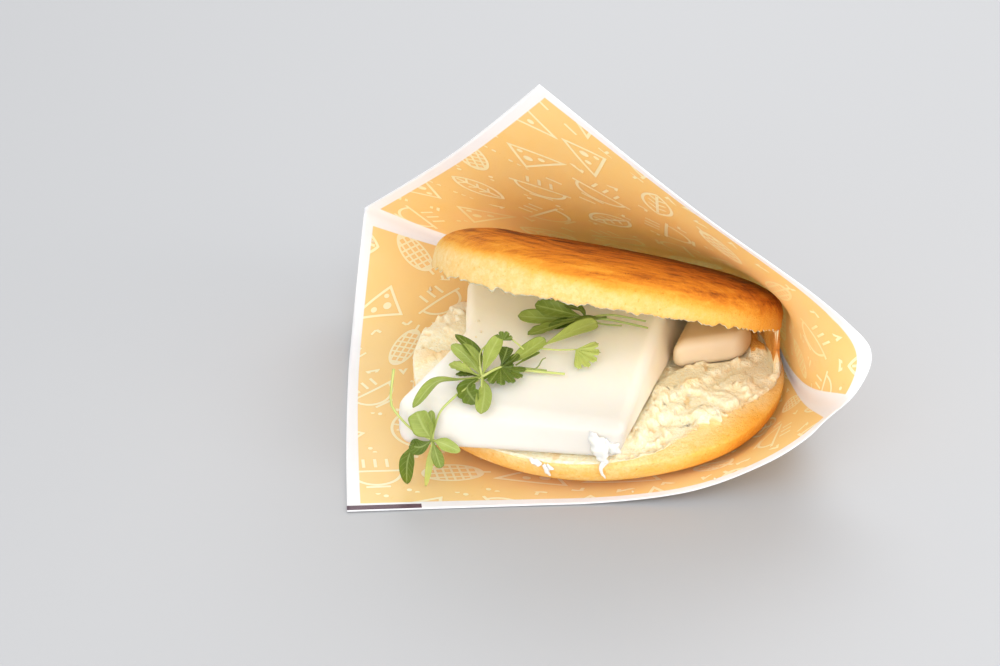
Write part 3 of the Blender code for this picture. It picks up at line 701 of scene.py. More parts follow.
def lid_browning_and_shade(x, y, z):
    """Browning of the top half at a point given with the bread shut, with painted light and shade."""
    angle = math.atan2(y, x)
    left = (0.5 - 0.5 * math.cos(angle)) ** 2
    right = (0.5 + 0.5 * math.cos(angle + 0.1)) ** 3
    height = z / TOP_HALF_HEIGHT + 0.10 * ring_ripple(angle, 2.2, 31.0)
    height += 0.05 * ring_ripple(angle, 7, 33.0)
    height -= 0.22 * left
    brown_and_shade = 0.06 + 0.46 * smoothstep(0.10, 0.58, height) + 0.26 * smoothstep(0.50, 0.92, height)
    run = 4.0 * z - 2.2 * math.hypot(x, y)
    streak = ring_ripple(angle, 3.0, run)
    thin = ring_ripple(angle, 7.0, 3.0 * run + 9.0)
    brown_and_shade += (0.22 * streak + 0.18 * thin) * smoothstep(0.25, 0.60, height)
    # The pale patch is painted light where the flap shades the lid; the burnt patch is real browning.
    for heading, width, patch_strength in LID_PATCHES:
        patch = bulge(angle, math.radians(heading), math.radians(width))
        brown_and_shade += patch_strength * patch * smoothstep(0.62, 0.80, height) * (0.7 + 0.6 * streak)
    # Painted shade: browner low on the right side.
    brown_and_shade += 0.32 * right * smoothstep(0.75, 0.0, height)
    return brown_and_shade


def bread_values(place, shut_place):
    """Browning with painted light and shade, crumb and painted hollow shade at a point, given as it lies
    and as it is with the bread shut.
    """
    x, y, z = place
    shut_x, shut_y, shut_z = shut_place
    angle, reach = about_middle(x, y)
    edge = upper_radius(math.atan2(shut_y, shut_x))
    shut_reach = math.hypot(shut_x, shut_y)
    turn = math.remainder(angle - 1.0, 2 * math.pi) + 1.0
    round_back = WEB_FROM - 0.1 < turn < WEB_TO + 0.1 and z > CRUMB_LEVEL + 0.25 and reach > 4.8
    if round_back and (shut_z < -0.02 or (shut_z < 0.09 and shut_reach < edge - 0.2)):
        # Painted shade: the inside of the hinge web gets the tan hollow colour, and its front end is
        # browner.
        end = smoothstep(WEB_FROM + 0.25, WEB_FROM, turn)
        brown_and_shade = 0.34 + 0.10 * ripple(angle * 5, z, 0.3, 38.0) + 0.32 * end
        return brown_and_shade, 0.37, 0.6 + 0.5 * ripple(angle * 5, z, 0.5, 39.0)
    if shut_z > -0.45 and z > ceiling(x, y) - 0.55:
        torn = smoothstep(edge - 0.06, edge - 0.115, shut_reach) if shut_z < 0.32 else 0.0
        painted_hollow_shade = 0.5 * max(ripple(shut_x, shut_y, 0.4, 37.0), 0.0) if torn else 0.0
        return lid_browning_and_shade(shut_x, shut_y, shut_z), torn, painted_hollow_shade
    tear = tear_depth(angle)
    edge, rise = crust_ring(angle, math.radians(5 + 28 * tear), SHOULDER_RISE, 2.0)
    level = WIDEST_LEVEL + rise
    right = (0.5 + 0.5 * math.cos(angle + 0.1)) ** 3
    brown_and_shade = -0.04 + 0.20 * smoothstep(1.52, 1.0, z) + 0.34 * smoothstep(0.80, 0.15, z)
    # Painted shade: browner on the right side, away from the light.
    brown_and_shade += 0.30 * right * smoothstep(edge - 0.2, edge + 0.8, reach)
    brown_and_shade += 0.08 * ripple(4 * angle, 2 * z, 0.7, 47.0)
    outside = smoothstep(edge - 0.05, edge + 0.02, reach)
    above = smoothstep(level + 0.005, level + 0.04, z)
    cliff = smoothstep(level + 0.16, level + 0.02, z) * smoothstep(edge - 0.30, edge - 0.02, reach)
    wall = smoothstep(CRUMB_LEVEL + 0.25, CRUMB_LEVEL + 0.7, z)
    # Painted shade in hollows, on the cliff faces and on the crumb walls by the hinge.
    painted_hollow_shade = min(max(0.85 * crumb_relief(x, y)[1], 0.7 * cliff * tear, wall), 1.0)
    return brown_and_shade, max(above, 1.0 - outside) if z > 1.0 else 0.0, painted_hollow_shade


def make_bread():
    surface = bread_material()
    halves = []
    for shape in (bottom_half(), top_half(), hinge_web()):
        half = bpy.data.objects.new("bread_part", mesh_of("bread_part", *shape, [surface]))
        bpy.context.scene.collection.objects.link(half)
        halves.append(half)
    for other in halves[1:]:
        union = halves[0].modifiers.new("union", "BOOLEAN")
        union.operation = "UNION"
        union.solver = "MANIFOLD"
        union.object = other
    graph = bpy.context.evaluated_depsgraph_get()
    mesh = bpy.data.meshes.new_from_object(halves[0].evaluated_get(graph))
    for half in halves:
        bpy.data.objects.remove(half)
    mesh.name = "bread"
    mesh.shade_smooth()
    bread = add_piece(mesh, "arepa_bread", "arepa_bread")
    points = plan_points(bread)
    values = zip(*(bread_values(*pair) for pair in zip(points, swing_shut(points))))
    for name, one in zip(("toast_and_shade", "crumb", "painted_hollow_shade"), values):
        give_values(bread, name, one)
    return surface


# Cheese

def cell_lines(length, radius, cells):
    """Places of the grid lines along one side of a block, closer at its round edges."""
    turn = radius * (1.0 - np.cos(np.linspace(0.0, math.pi / 2, 9)[:-1]))
    inside = np.linspace(radius, length - radius, cells + 1)
    return np.concatenate([turn, inside, (length - turn)[::-1]])


def rounded_block(size, radius, cells):
    """Surface grid of a block with round edges; points run from 0 to 1 along each side."""
    lines = [cell_lines(size[axis], radius[axis], cells[axis]) for axis in range(3)]
    last = [len(line) - 1 for line in lines]
    index = {}
    points = []
    faces = []

    def corner(key):
        if key not in index:
            flat = np.array([lines[axis][key[axis]] for axis in range(3)])
            core = np.array([min(max(flat[a], radius[a]), size[a] - radius[a]) for a in range(3)])
            out = (flat - core) / np.array(radius)
            length = np.linalg.norm(out)
            if length > 1e-9:
                out = out / length * np.max(np.abs(out))
            index[key] = len(points)
            points.append((core + out * np.array(radius)) / np.array(size))
        return index[key]

    for axis in range(3):
        first, second = [a for a in range(3) if a != axis]
        for side, i, j in product((0, last[axis]), range(last[first]), range(last[second])):
            keys = [np.insert(spot, axis, side) for spot in square(i, j)]
            faces.append([corner(tuple(key)) for key in keys])
    return points, faces


def slab_place(along, across, up):
    """Point of the large slab; along runs to the front, across to the right."""
    front = lerp(lerp(-5.20, -6.35, across ** 0.6), lerp(-4.75, -6.20, across), up)
    y = lerp(SLAB_BACK - 0.3 * across, front, along)
    x = lerp(slab_left(y), slab_right(y) + slab_spread(y) * (1.0 - up), across)
    x += 0.05 * ripple(y, up * 2, 1.6, 2.0)
    low = cheese_floor(x, y)
    high = slab_top(x, y) + 0.03 * ripple(x, y, 1.8, 9.0) - 0.03
    return x, y, lerp(low, high, up)


def slice_place(along, across, up):
    """Point of the small slice, tucked under the bread on the right."""
    across = lerp(0.5, across, 1.0 - 0.34 * smoothstep(0.70, 1.0, along) ** 2)
    depth = (1.0 - across) * SLICE_DEPTH
    beside = slice_front(SLICE_LEFT) + depth
    left = slab_right(beside) + slab_spread(beside) + 0.08
    x = lerp(left, SLICE_RIGHT, along)
    y = slice_front(x) + depth
    high = min(SLICE_TOP, ceiling(x, y) - 0.14)
    return x, y, lerp(cheese_floor(x, y), high, up)


def cheese_material():
    surface, tree, shader = new_material("fresh_white_cheese", 0.34, 0.42)
    place = place_field(tree)
    mottle = noise_field(tree, place, 2.4, 3.0)
    grain = noise_field(tree, place, 0.5, 4.0, 0.6)
    painted_light_and_shade = read_value(tree, "painted_light_and_shade") + (mottle - 0.5) * 0.12
    # Painted light and shade: darker at the slab's front, brighter and warmer at its back under the
    # bread, tan on its right side and on the slice's back.
    colour = colour_ramp(tree, painted_light_and_shade, [
        (0.00, (0.66, 0.620, 0.555)), (0.45, (0.88, 0.845, 0.775)), (0.62, (0.98, 0.87, 0.70)),
        (0.76, (0.84, 0.70, 0.51)), (1.00, (0.66, 0.43, 0.20))])
    tree.links.new(colour, shader.inputs["Base Color"])
    let_light_in(shader, 0.5, (1.0, 0.75, 0.5), 0.40)
    add_bump(tree, shader, mottle * 1.5 + grain * 0.35, 0.05, 0.35)
    return surface


def make_cheese(curd):
    """The slab and the slice, with painted light and shade: darker at the front, warmer to the back and
    right.
    """
    def slab_light_and_shade(x, y):
        # Painted shade at the front and on the right side, painted warm light at the back.
        painted_light_and_shade = 0.45 * smoothstep(-6.5, -3.6, y) + 0.16 * smoothstep(-3.6, 0.5, y)
        return painted_light_and_shade + 0.14 * smoothstep(-0.1, 0.3, x - slab_right(y)) * smoothstep(-5.0, -1.5, y)

    def slice_light_and_shade(x, y):
        return 0.70 + 0.30 * smoothstep(-0.3, 0.6, y - slice_front(x))

    for name, size, radius, cells, place, light_and_shade in (
            ("cheese_slab", SLAB_SIZE, (0.42, 0.36, 0.40), (64, 52, 8), slab_place, slab_light_and_shade),
            ("cheese_slice", SLICE_SIZE, (0.48, 0.36, 0.44), (26, 20, 6), slice_place, slice_light_and_shade)):
        points, faces = rounded_block(size, radius, cells)
        mesh = mesh_of(name + "_soft", [place(*point) for point in points], faces, [curd])
        piece = add_piece(mesh, name, name)
        give_values(piece, "painted_light_and_shade", [light_and_shade(x, y) for x, y, _ in plan_points(piece)])


def soft_tube(path, radii, seed, rough, flat, lump=0.25):
    """Closed uneven tube; flat is its depth as a share of its width, lump the size of its noise."""
    steps = 24
    turns = [2 * math.pi * n / 16 for n in range(16)]
    widths = np.interp(np.linspace(0, 1, steps), np.linspace(0, 1, len(radii)), radii)
    spots = curve_through(path, steps)
    rings = []
    for width, (centre, side, rise) in zip(widths, frames(spots, (0.11, 0.97, 0.23))):
        ring = []
        for turn in turns:
            out = side * math.cos(turn) + rise * math.sin(turn) * flat
            x, _, z = centre + out * max(0.3 * lump / 0.25, width)
            uneven = layers(x, z, (1.0, lump, seed), (0.6, 0.4 * lump, seed + 0.5))
            ring.append(centre + out * width * (1 + rough * uneven))
        rings.append(ring)
    return skin(rings, spots[0], spots[-1])


def make_drips(curd):
    """Torn cheese at the front right corner of the slab, and shreds on the crust below it."""
    shapes = []
    # Roughness, flatness, radii and path of each
    for rough, flat, radii, path in (
            (0.9, 0.30, (0.04, 0.27, 0.34, 0.22, 0.05), [
                (2.72, -5.88, 2.36), (3.00, -6.16, 2.16), (3.22, -6.30, 1.86), (3.34, -6.36, 1.60),
                (3.36, -6.38, 1.44)]),
            (0.9, 0.45, (0.06, 0.22, 0.22, 0.04), [
                (3.20, -6.14, 2.22), (3.50, -6.20, 2.02), (3.72, -6.22, 1.86), (3.86, -6.20, 1.76)]),
            (0.8, 0.70, (0.10, 0.07, 0.04, 0.06, 0.02), [
                (3.30, -6.38, 1.52), (3.22, -6.42, 1.30), (3.28, -6.41, 1.10), (3.38, -6.36, 0.90)]),
            (0.9, 1.0, (0.04, 0.13, 0.05), [
                (0.98, -5.96, 1.42), (1.16, -6.06, 1.31), (1.36, -6.10, 1.29)]),
            (0.9, 1.0, (0.06, 0.09, 0.02), [
                (1.40, -6.12, 1.26), (1.52, -6.18, 1.10), (1.64, -6.18, 0.88)]),
            (0.9, 1.0, (0.03, 0.07, 0.03), [
                (1.52, -6.14, 1.30), (1.62, -6.20, 1.20), (1.74, -6.22, 1.16)])):
        shapes.append(soft_tube(path, radii, len(shapes) + 1.0, rough, flat))
    drips = add_piece(mesh_of("cheese_drips", *gathered(shapes), [curd]), "cheese_slab")
    # The drips take the slab's painted light and shade at a middle value.
    give_values(drips, "painted_light_and_shade", [0.40] * len(drips.data.vertices))


def make_crumbs(surface):
    """Loose crumbs on the paper, on the cheese and by the hinge."""
    shapes = []
    for k, (x, y, z, size) in enumerate((
            (-2.51, 5.31, 1.36, 0.07), (-4.60, 6.24, 2.84, 0.05), (-0.71, -0.42, 3.28, 0.05),
            (-0.77, -1.44, 3.25, 0.04), (-0.60, -1.13, 3.27, 0.035), (4.3, -6.05, 0.13, 0.045),
            (-3.4, -2.2, 0.07, 0.045), (-3.9, 1.4, 0.07, 0.05), (6.9, -6.0, 0.62, 0.04))):
        lean = 0.6 * size
        path = [(x - lean, y, z), (x, y + lean, z + 0.3 * size), (x + lean, y - lean, z)]
        shapes.append(soft_tube(path, (0.4 * size, size, 0.4 * size), 20.0 + k, 1.1, 0.8, 1.3 * size))
    crumbs = add_piece(mesh_of("crumbs", *gathered(shapes), [surface]), "arepa_bread")
    give_values(crumbs, "crumb", [1.0] * len(crumbs.data.vertices))
    give_values(crumbs, "painted_hollow_shade", [0.35] * len(crumbs.data.vertices))


# Paper sleeve: two square sheets sealed along the back and the right

def sheet_edges():
    """The six edges, each with SLEEVE_CELLS + 1 points, starting at the sealed corners."""
    count = SLEEVE_CELLS + 1
    back_seam = curve_through([BACK_CORNER, (5.0, 7.45, 0.85), (1.0, 7.45, 1.40),
                               (-2.2, 7.50, 2.35), LEFT_CORNER], count)
    right_seam = curve_through([BACK_CORNER, (10.25, 4.5, 0.75), (10.05, 1.3, 0.60),
                                (10.30, -2.3, 1.45), RIGHT_CORNER], count)
    left_edge = curve_through([LEFT_CORNER, (-5.15, 5.6, 1.85), (-5.3, 4.1, 0.35), (-5.3, 1.5, 0.0),
                               (-5.1, -3.0, 0.0), FREE_CORNER_BELOW], count)
    front_edge = curve_through([RIGHT_CORNER, (10.34, -5.65, 2.60), (9.79, -5.75, 2.00),
                                (8.7, -5.9, 1.25), (6.9, -6.2, 0.55),
                                (5.2, -6.4, 0.22), (2.6, -6.5, 0.0), (-1.0, -6.7, 0.0),
                                FREE_CORNER_BELOW], count)
    flap_left = curve_through([LEFT_CORNER, (-3.36, 4.41, 6.03), (-1.73, 1.52, 8.46),
                               (-0.38, -1.01, 10.70), FREE_CORNER_ABOVE], count)
    flap_right = curve_through([RIGHT_CORNER, (11.24, -5.20, 3.22), (11.55, -5.05, 3.68),
                                (11.74, -4.98, 4.20), (11.72, -4.95, 4.78), (11.32, -4.92, 5.38),
                                (9.60, -4.87, 6.93), (5.78, -4.80, 9.85), FREE_CORNER_ABOVE], count)
    for edge in (left_edge, front_edge):
        edge[:, 2] = np.maximum(edge[:, 2], 0.0)
    return back_seam, right_seam, left_edge, front_edge, flap_left, flap_right


def spanned(back_seam, right_seam, left_edge, front_edge):
    """Grid of points blended between four edges; the first index runs along the back seam."""
    u = np.linspace(0.0, 1.0, SLEEVE_CELLS + 1)[:, None, None]
    v = np.linspace(0.0, 1.0, SLEEVE_CELLS + 1)[None, :, None]
    across = lerp(right_seam[None, :], left_edge[None, :], u)
    along = lerp(back_seam[:, None], front_edge[:, None], v)
    corners = lerp(lerp(back_seam[0], back_seam[-1], u), lerp(front_edge[0], front_edge[-1], u), v)
    return across + along - corners


def pushed_out(points, centre, radius, above, below):
    """Move points out of a crust-shaped body about a centre; above and below are its two heights."""
    local = points - centre
    reach = np.hypot(local[..., 0], local[..., 1])
    height = np.where(local[..., 2] > 0.0, above, below)
    depth = ((reach / radius) ** CRUST_POWER + (np.abs(local[..., 2]) / height) ** CRUST_POWER)
    depth = np.maximum(depth, 1e-6) ** (1.0 / CRUST_POWER)
    return centre + local / np.minimum(depth, 1.0)[..., None]


def off_lower_crust(points, gap):
    """Move points out of the bottom half, with a gap round its rim."""
    centre = np.array([*BREAD_CENTRE, WIDEST_LEVEL])
    depth = WIDEST_LEVEL - BREAD_UNDERSIDE + PAPER_CLEARANCE
    return pushed_out(points, centre, BREAD_RADIUS + gap, SHOULDER_RISE + PAPER_CLEARANCE, depth)


def clear_of_bottom(points):
    """Keep the lower sheet under the bread and on the surface."""
    points = off_lower_crust(points, PAPER_CLEARANCE + 0.05)
    points[..., 2] = np.maximum(points[..., 2], 0.0)
    return points


def clear_of_top(points):
    """Keep the upper sheet over the bread."""
    upper = TOP_HALF_RADIUS + PAPER_CLEARANCE + 0.12
    height = TOP_HALF_HEIGHT + PAPER_CLEARANCE + 0.06
    shut = pushed_out(swing_shut(points.reshape(-1, 3)), np.zeros(3), upper, height, 0.3)
    return off_lower_crust(swing_open(shut).reshape(points.shape), PAPER_CLEARANCE + 0.08)


def drawn_taut(grid, clear, rounds=900):
    """Draw a sheet taut between its edges while it stays clear of the bread."""
    grid = grid.copy()
    for _ in range(rounds):
        around = grid[2:, 1:-1] + grid[:-2, 1:-1] + grid[1:-1, 2:] + grid[1:-1, :-2]
        grid[1:-1, 1:-1] = clear(around / 4)
    return grid


def refined(grid, lines):
    """Read a grid smoothly at the given places, 0 to 1, along both of its sides."""
    for _ in range(2):
        places = np.array(lines) * SLEEVE_CELLS
        low = np.minimum(places.astype(int), SLEEVE_CELLS - 1)
        t = (places - low)[:, None, None]
        padded = np.concatenate([[2 * grid[0] - grid[1]], grid, [2 * grid[-1] - grid[-2]]])
        grid = smooth_between(*(padded[low + k] for k in range(4)), t).transpose(1, 0, 2)
    return grid


def inward(grid, sign):
    """Unit normals of a sheet, towards the inside of the bag."""
    normal = np.cross(np.gradient(grid, axis=0), np.gradient(grid, axis=1))
    return sign * normal / np.linalg.norm(normal, axis=-1, keepdims=True)


def length_of(x, y):
    return (x * x + y * y).root()


def rotated(tree, x, y, angle):
    """A place turned about the origin by an angle in radians."""
    place = add_node(tree, "CombineXYZ", {0: x, 1: y}).outputs[0]
    node = add_node(tree, "VectorRotate", {"Vector": place, "Angle": angle}, rotation_type="Z_AXIS")
    return split(tree, node.outputs[0])


def random_field(tree, x, y, seed):
    place = add_node(tree, "CombineXYZ", {0: x, 1: y, 2: seed}).outputs[0]
    node = add_node(tree, "TexWhiteNoise", {"Vector": place}, noise_dimensions="3D")
    return Field(tree, node.outputs["Value"])


def leaf_motif(x, y):
    """A pointed leaf with its midrib and side veins."""
    side = x.abs()
    outline = (length_of(side + 0.62, y) - 1.15).abs()
    rib = side.most(y.abs() - 0.78)
    veins = (side * 0.7 - y.from_middle(0.42)).abs().most(side - 0.28).most(y.abs() - 0.60)
    return outline.least(rib).least(veins)


def wedge_motif(x, y):
    """A wedge of cheese with three holes."""
    sides = (y * -1.0 - 0.55).most(x * 0.901 + y * 0.433 - 0.66).most(x * -0.693 + y * 0.721 - 0.32)
    holes = (length_of(x - 0.36, y + 0.10) - 0.11).least(length_of(x + 0.16, y + 0.26) - 0.07)
    return sides.abs().least(holes).least(length_of(x - 0.26, y - 0.36) - 0.05)


def cob_motif(x, y):
    """An ear of maize with its rows of kernels and a short stalk."""
    body = (length_of(x * 1.9, y) - 0.95) / 1.5
    rows = x.from_middle(0.27).abs().least(y.from_middle(0.27).abs()) + 0.014
    stalk = x.abs().most((y + 1.12).abs() - 0.12)
    return body.abs().least(rows.most(body + 0.06)).least(stalk)


def bowl_motif(x, y):
    """A round bowl on a foot, with steam over it."""
    cup = (length_of(x, y - 0.1) - 0.84).abs().most(y - 0.1)
    brim = (y - 0.1).abs().most(x.abs() - 1.0)
    foot = (y + 0.86).abs().most(x.abs() - 0.34)
    steam = x.from_middle(0.40).abs().most(x.abs() - 0.5).most((y - 0.58).abs() - 0.20)
    return cup.least(brim).least(foot).least(steam)


def drawings(x, y):
    return [motif(x, y) for motif in (leaf_motif, wedge_motif, cob_motif, bowl_motif)]


def small_marks(x, y):
    """Marks between the drawings: a plus, a triangle, two dashes and three dots."""
    plus = x.abs().least(y.abs()).most(length_of(x, y) - 0.22)
    triangle = (y * -1.0 - 0.12).most(x.abs() * 0.866 + y * 0.5 - 0.12).abs()
    dashes = (y.abs() - 0.12).abs().most(x.abs() - 0.22)
    dots = (length_of(x.from_middle(0.30), y) - 0.03).most(x.abs() - 0.45)
    return [plus, triangle, dashes, dots]


def one_of(kind, distances):
    """The distance that a random number from 0 to 1 picks."""
    share = 1.0 / len(distances)
    picked = None
    for k, distance in enumerate(distances):
        chosen = kind.within(k * share, (k + 1) * share, 0.001)
        far = distance + chosen.flipped() * 9.0
        picked = far if picked is None else picked.least(far)
    return picked


def scattered(tree, x, y, offset, motifs, turn_seed, kind_seed):
    """Distance to motifs picked and turned at random, one a cell; offset moves the cells by a share."""
    column = (x / PRINT_PITCH + offset).floor()
    row = (y / PRINT_PITCH + offset).floor()
    turn = random_field(tree, column, row, turn_seed) * (2 * math.pi)
    local_x = x - (column + (0.5 - offset)) * PRINT_PITCH
    local_y = y - (row + (0.5 - offset)) * PRINT_PITCH
    shapes = motifs(*rotated(tree, local_x, local_y, turn))
    return one_of(random_field(tree, column, row, kind_seed), shapes)


def print_distance(tree, x, y):
    """Distance to the nearest line of the drawings, scattered over a staggered grid."""
    x = x + (y / PRINT_PITCH).floor().modulo(2.0) * (PRINT_PITCH / 2)
    marks = scattered(tree, x, y, 0.5, small_marks, 6.0, 5.0)
    return scattered(tree, x, y, 0.0, drawings, 8.0, 3.0).least(marks)


def paper_material(name, field, strokes, margin):
    surface, tree, shader = new_material(name, 0.42, 0.30)
    u, v = read_map(tree, "sheet")
    local_u = u.modulo(2.0) * SHEET_SIZE
    local_v = v * SHEET_SIZE
    window = local_u.within(0.56, SHEET_SIZE - 0.42, 0.02) * local_v.within(0.56, SHEET_SIZE - 0.42, 0.02)
    distance = print_distance(tree, u * SHEET_SIZE, v * SHEET_SIZE)
    place = place_field(tree)
    cloud = noise_field(tree, place, 3.0, 2.0)
    fibre = noise_field(tree, place, 0.16, 4.0, 0.7)
    # Painted light: a brighter field with fainter drawings where the flap curves down over the top half,
    # standing in for light in the shaded valley.
    painted_valley_light = read_value(tree, "painted_valley_light") * cloud.rising(0.1, 0.6)
    shade = [field[0] * 0.97, field[1] * 0.90, field[2] * 0.72]
    tint = (cloud.rising(0.25, 0.75) * 0.4).mixed(field, shade)
    tint = (distance.within(0.03, 0.085) * 0.7).mixed(tint, shade)
    tint = (painted_valley_light * 0.60).mixed(tint, (0.99, field[1] * 0.94, field[2] * 1.05))
    strokes = (painted_valley_light * 0.60).mixed(strokes, (field[0] * 0.98, field[1] * 1.02, field[2] * 1.10))
    printed = (distance.under(0.056) * 0.92).mixed(tint, strokes)
    colour = window.mixed(margin, printed)
    bar = local_v.within(SHEET_SIZE - 0.31, SHEET_SIZE - 0.05, 0.01)
    bar = bar * local_u.rising(SHEET_SIZE - 2.32, SHEET_SIZE - 2.30) * u.under(1.5, 0.1)
    tree.links.new(bar.mixed(colour, (0.11, 0.065, 0.085)), shader.inputs["Base Color"])
    let_light_in(shader, 0.9, (1.0, 0.97, 0.93), 0.10)
    add_bump(tree, shader, fibre + cloud * 4.0, 0.012, 0.5)
    return surface


def contact_depth(points):
    """How far points stand off the top half: 1 on it, rising away from it."""
    shut = swing_shut(points.reshape(-1, 3)).reshape(points.shape)
    reach = np.hypot(shut[..., 0], shut[..., 1]) / (TOP_HALF_RADIUS + 0.3)
    rise = np.abs(shut[..., 2]) / (TOP_HALF_HEIGHT + 0.25)
    return (reach ** CRUST_POWER + rise ** CRUST_POWER) ** (1.0 / CRUST_POWER)


def make_sleeve():
    back_seam, right_seam, left_edge, front_edge, flap_left, flap_right = sheet_edges()
    lower = drawn_taut(spanned(back_seam, right_seam, left_edge, front_edge), clear_of_bottom)
    upper = drawn_taut(spanned(back_seam, right_seam, flap_left, flap_right), clear_of_top)
    lines = np.append([0.0, SEAM_WIDTH / SHEET_SIZE], np.linspace(0.024, 1.0, SHEET_LINES))
    last = len(lines) - 1
    lower = refined(lower, lines)
    lower[..., 2] = np.maximum(lower[..., 2], 0.0)
    upper = refined(upper, lines)
    grids = {("outer", "lower"): lower, ("inner", "lower"): lower + PAPER * inward(lower, 1.0),
             ("outer", "upper"): upper, ("inner", "upper"): upper + PAPER * inward(upper, -1.0)}
    stand_off = contact_depth(upper)
    points, places, painted_valley_light, faces, inside, above = [], [], [], [], [], []
    index = {}

    def corner(layer, sheet, i, j):
        sealed = min(i, j) == (0 if layer == "outer" else 1)
        key = (layer, "both" if sealed else sheet, i, j)
        if key not in index:
            index[key] = len(points)
            sheets = ("lower", "upper") if sealed else (sheet,)
            points.append(sum(grids[layer, each][i, j] for each in sheets) / len(sheets))
            places.append((lines[i], lines[j]))
            # Where the upper sheet lies near the top half it gets painted light.
            off = stand_off[i, j] - 0.10 * ripple(lines[i] * 16, lines[j] * 16, 2.2, 95.0)
            painted_valley_light.append(smoothstep(1.30, 1.22, off) if sheet == "upper" else 0.0)
        return index[key]

    def add_face(*spots):
        faces.append([corner(*spot) for spot in spots])
        inside.append(all(spot[0] == "inner" for spot in spots))
        above.append(2.0 if spots[0][1] == "upper" else 0.0)

    for sheet in ("lower", "upper"):
        for layer, start in (("outer", 0), ("inner", 1)):
            for i, j in product(range(start, last), repeat=2):
                spots = [(layer, sheet, *spot) for spot in square(i, j)]
                if (layer == "outer") == (sheet == "lower"):
                    spots.reverse()
                add_face(*spots)
        for k in range(1, last):
            for a, b in (((last, k), (last, k + 1)), ((k, last), (k + 1, last))):
                add_face(*((layer, sheet, *spot) for layer, spot in zip(
                    ("outer", "outer", "inner", "inner"), (a, b, b, a))))
    for seam, beside in (((last, 0), (last, 1)), ((0, last), (1, last))):
        add_face(("outer", "lower", *seam), ("outer", "lower", *beside),
                 ("inner", "lower", *beside), ("outer", "upper", *beside))

    papers = [paper_material(name, *colours) for name, colours in PAPER_COLOURS.items()]
    mesh = mesh_of("sleeve", points, faces, papers)
    mesh.polygons.foreach_set("material_index", inside)
    sleeve = add_piece(mesh, "paper_sleeve", "paper_sleeve")
    give_map(sleeve, "sheet", places, np.repeat(above, 4))
    give_values(sleeve, "painted_valley_light", painted_valley_light)


# Micro greens

def plate_faces(rows, columns):
    """Faces of a thin plate: a grid of points on top, the same grid below it, and its edges."""
    total = rows * columns
    faces = []
    for k in range(rows - 1):
        for a in range(k * columns, (k + 1) * columns - 1):
            faces.append((a, a + 1, a + 1 + columns, a + columns))
            faces.append((total + a, total + a + columns, total + a + 1 + columns, total + a + 1))
        for a in (k * columns, (k + 1) * columns - 1):
            faces.append((a, a + columns, total + a + columns, total + a))
    for k in (0, rows - 1):
        for a in range(k * columns, (k + 1) * columns - 1):
            faces.append((a, total + a, total + a + 1, a + 1))
    return faces


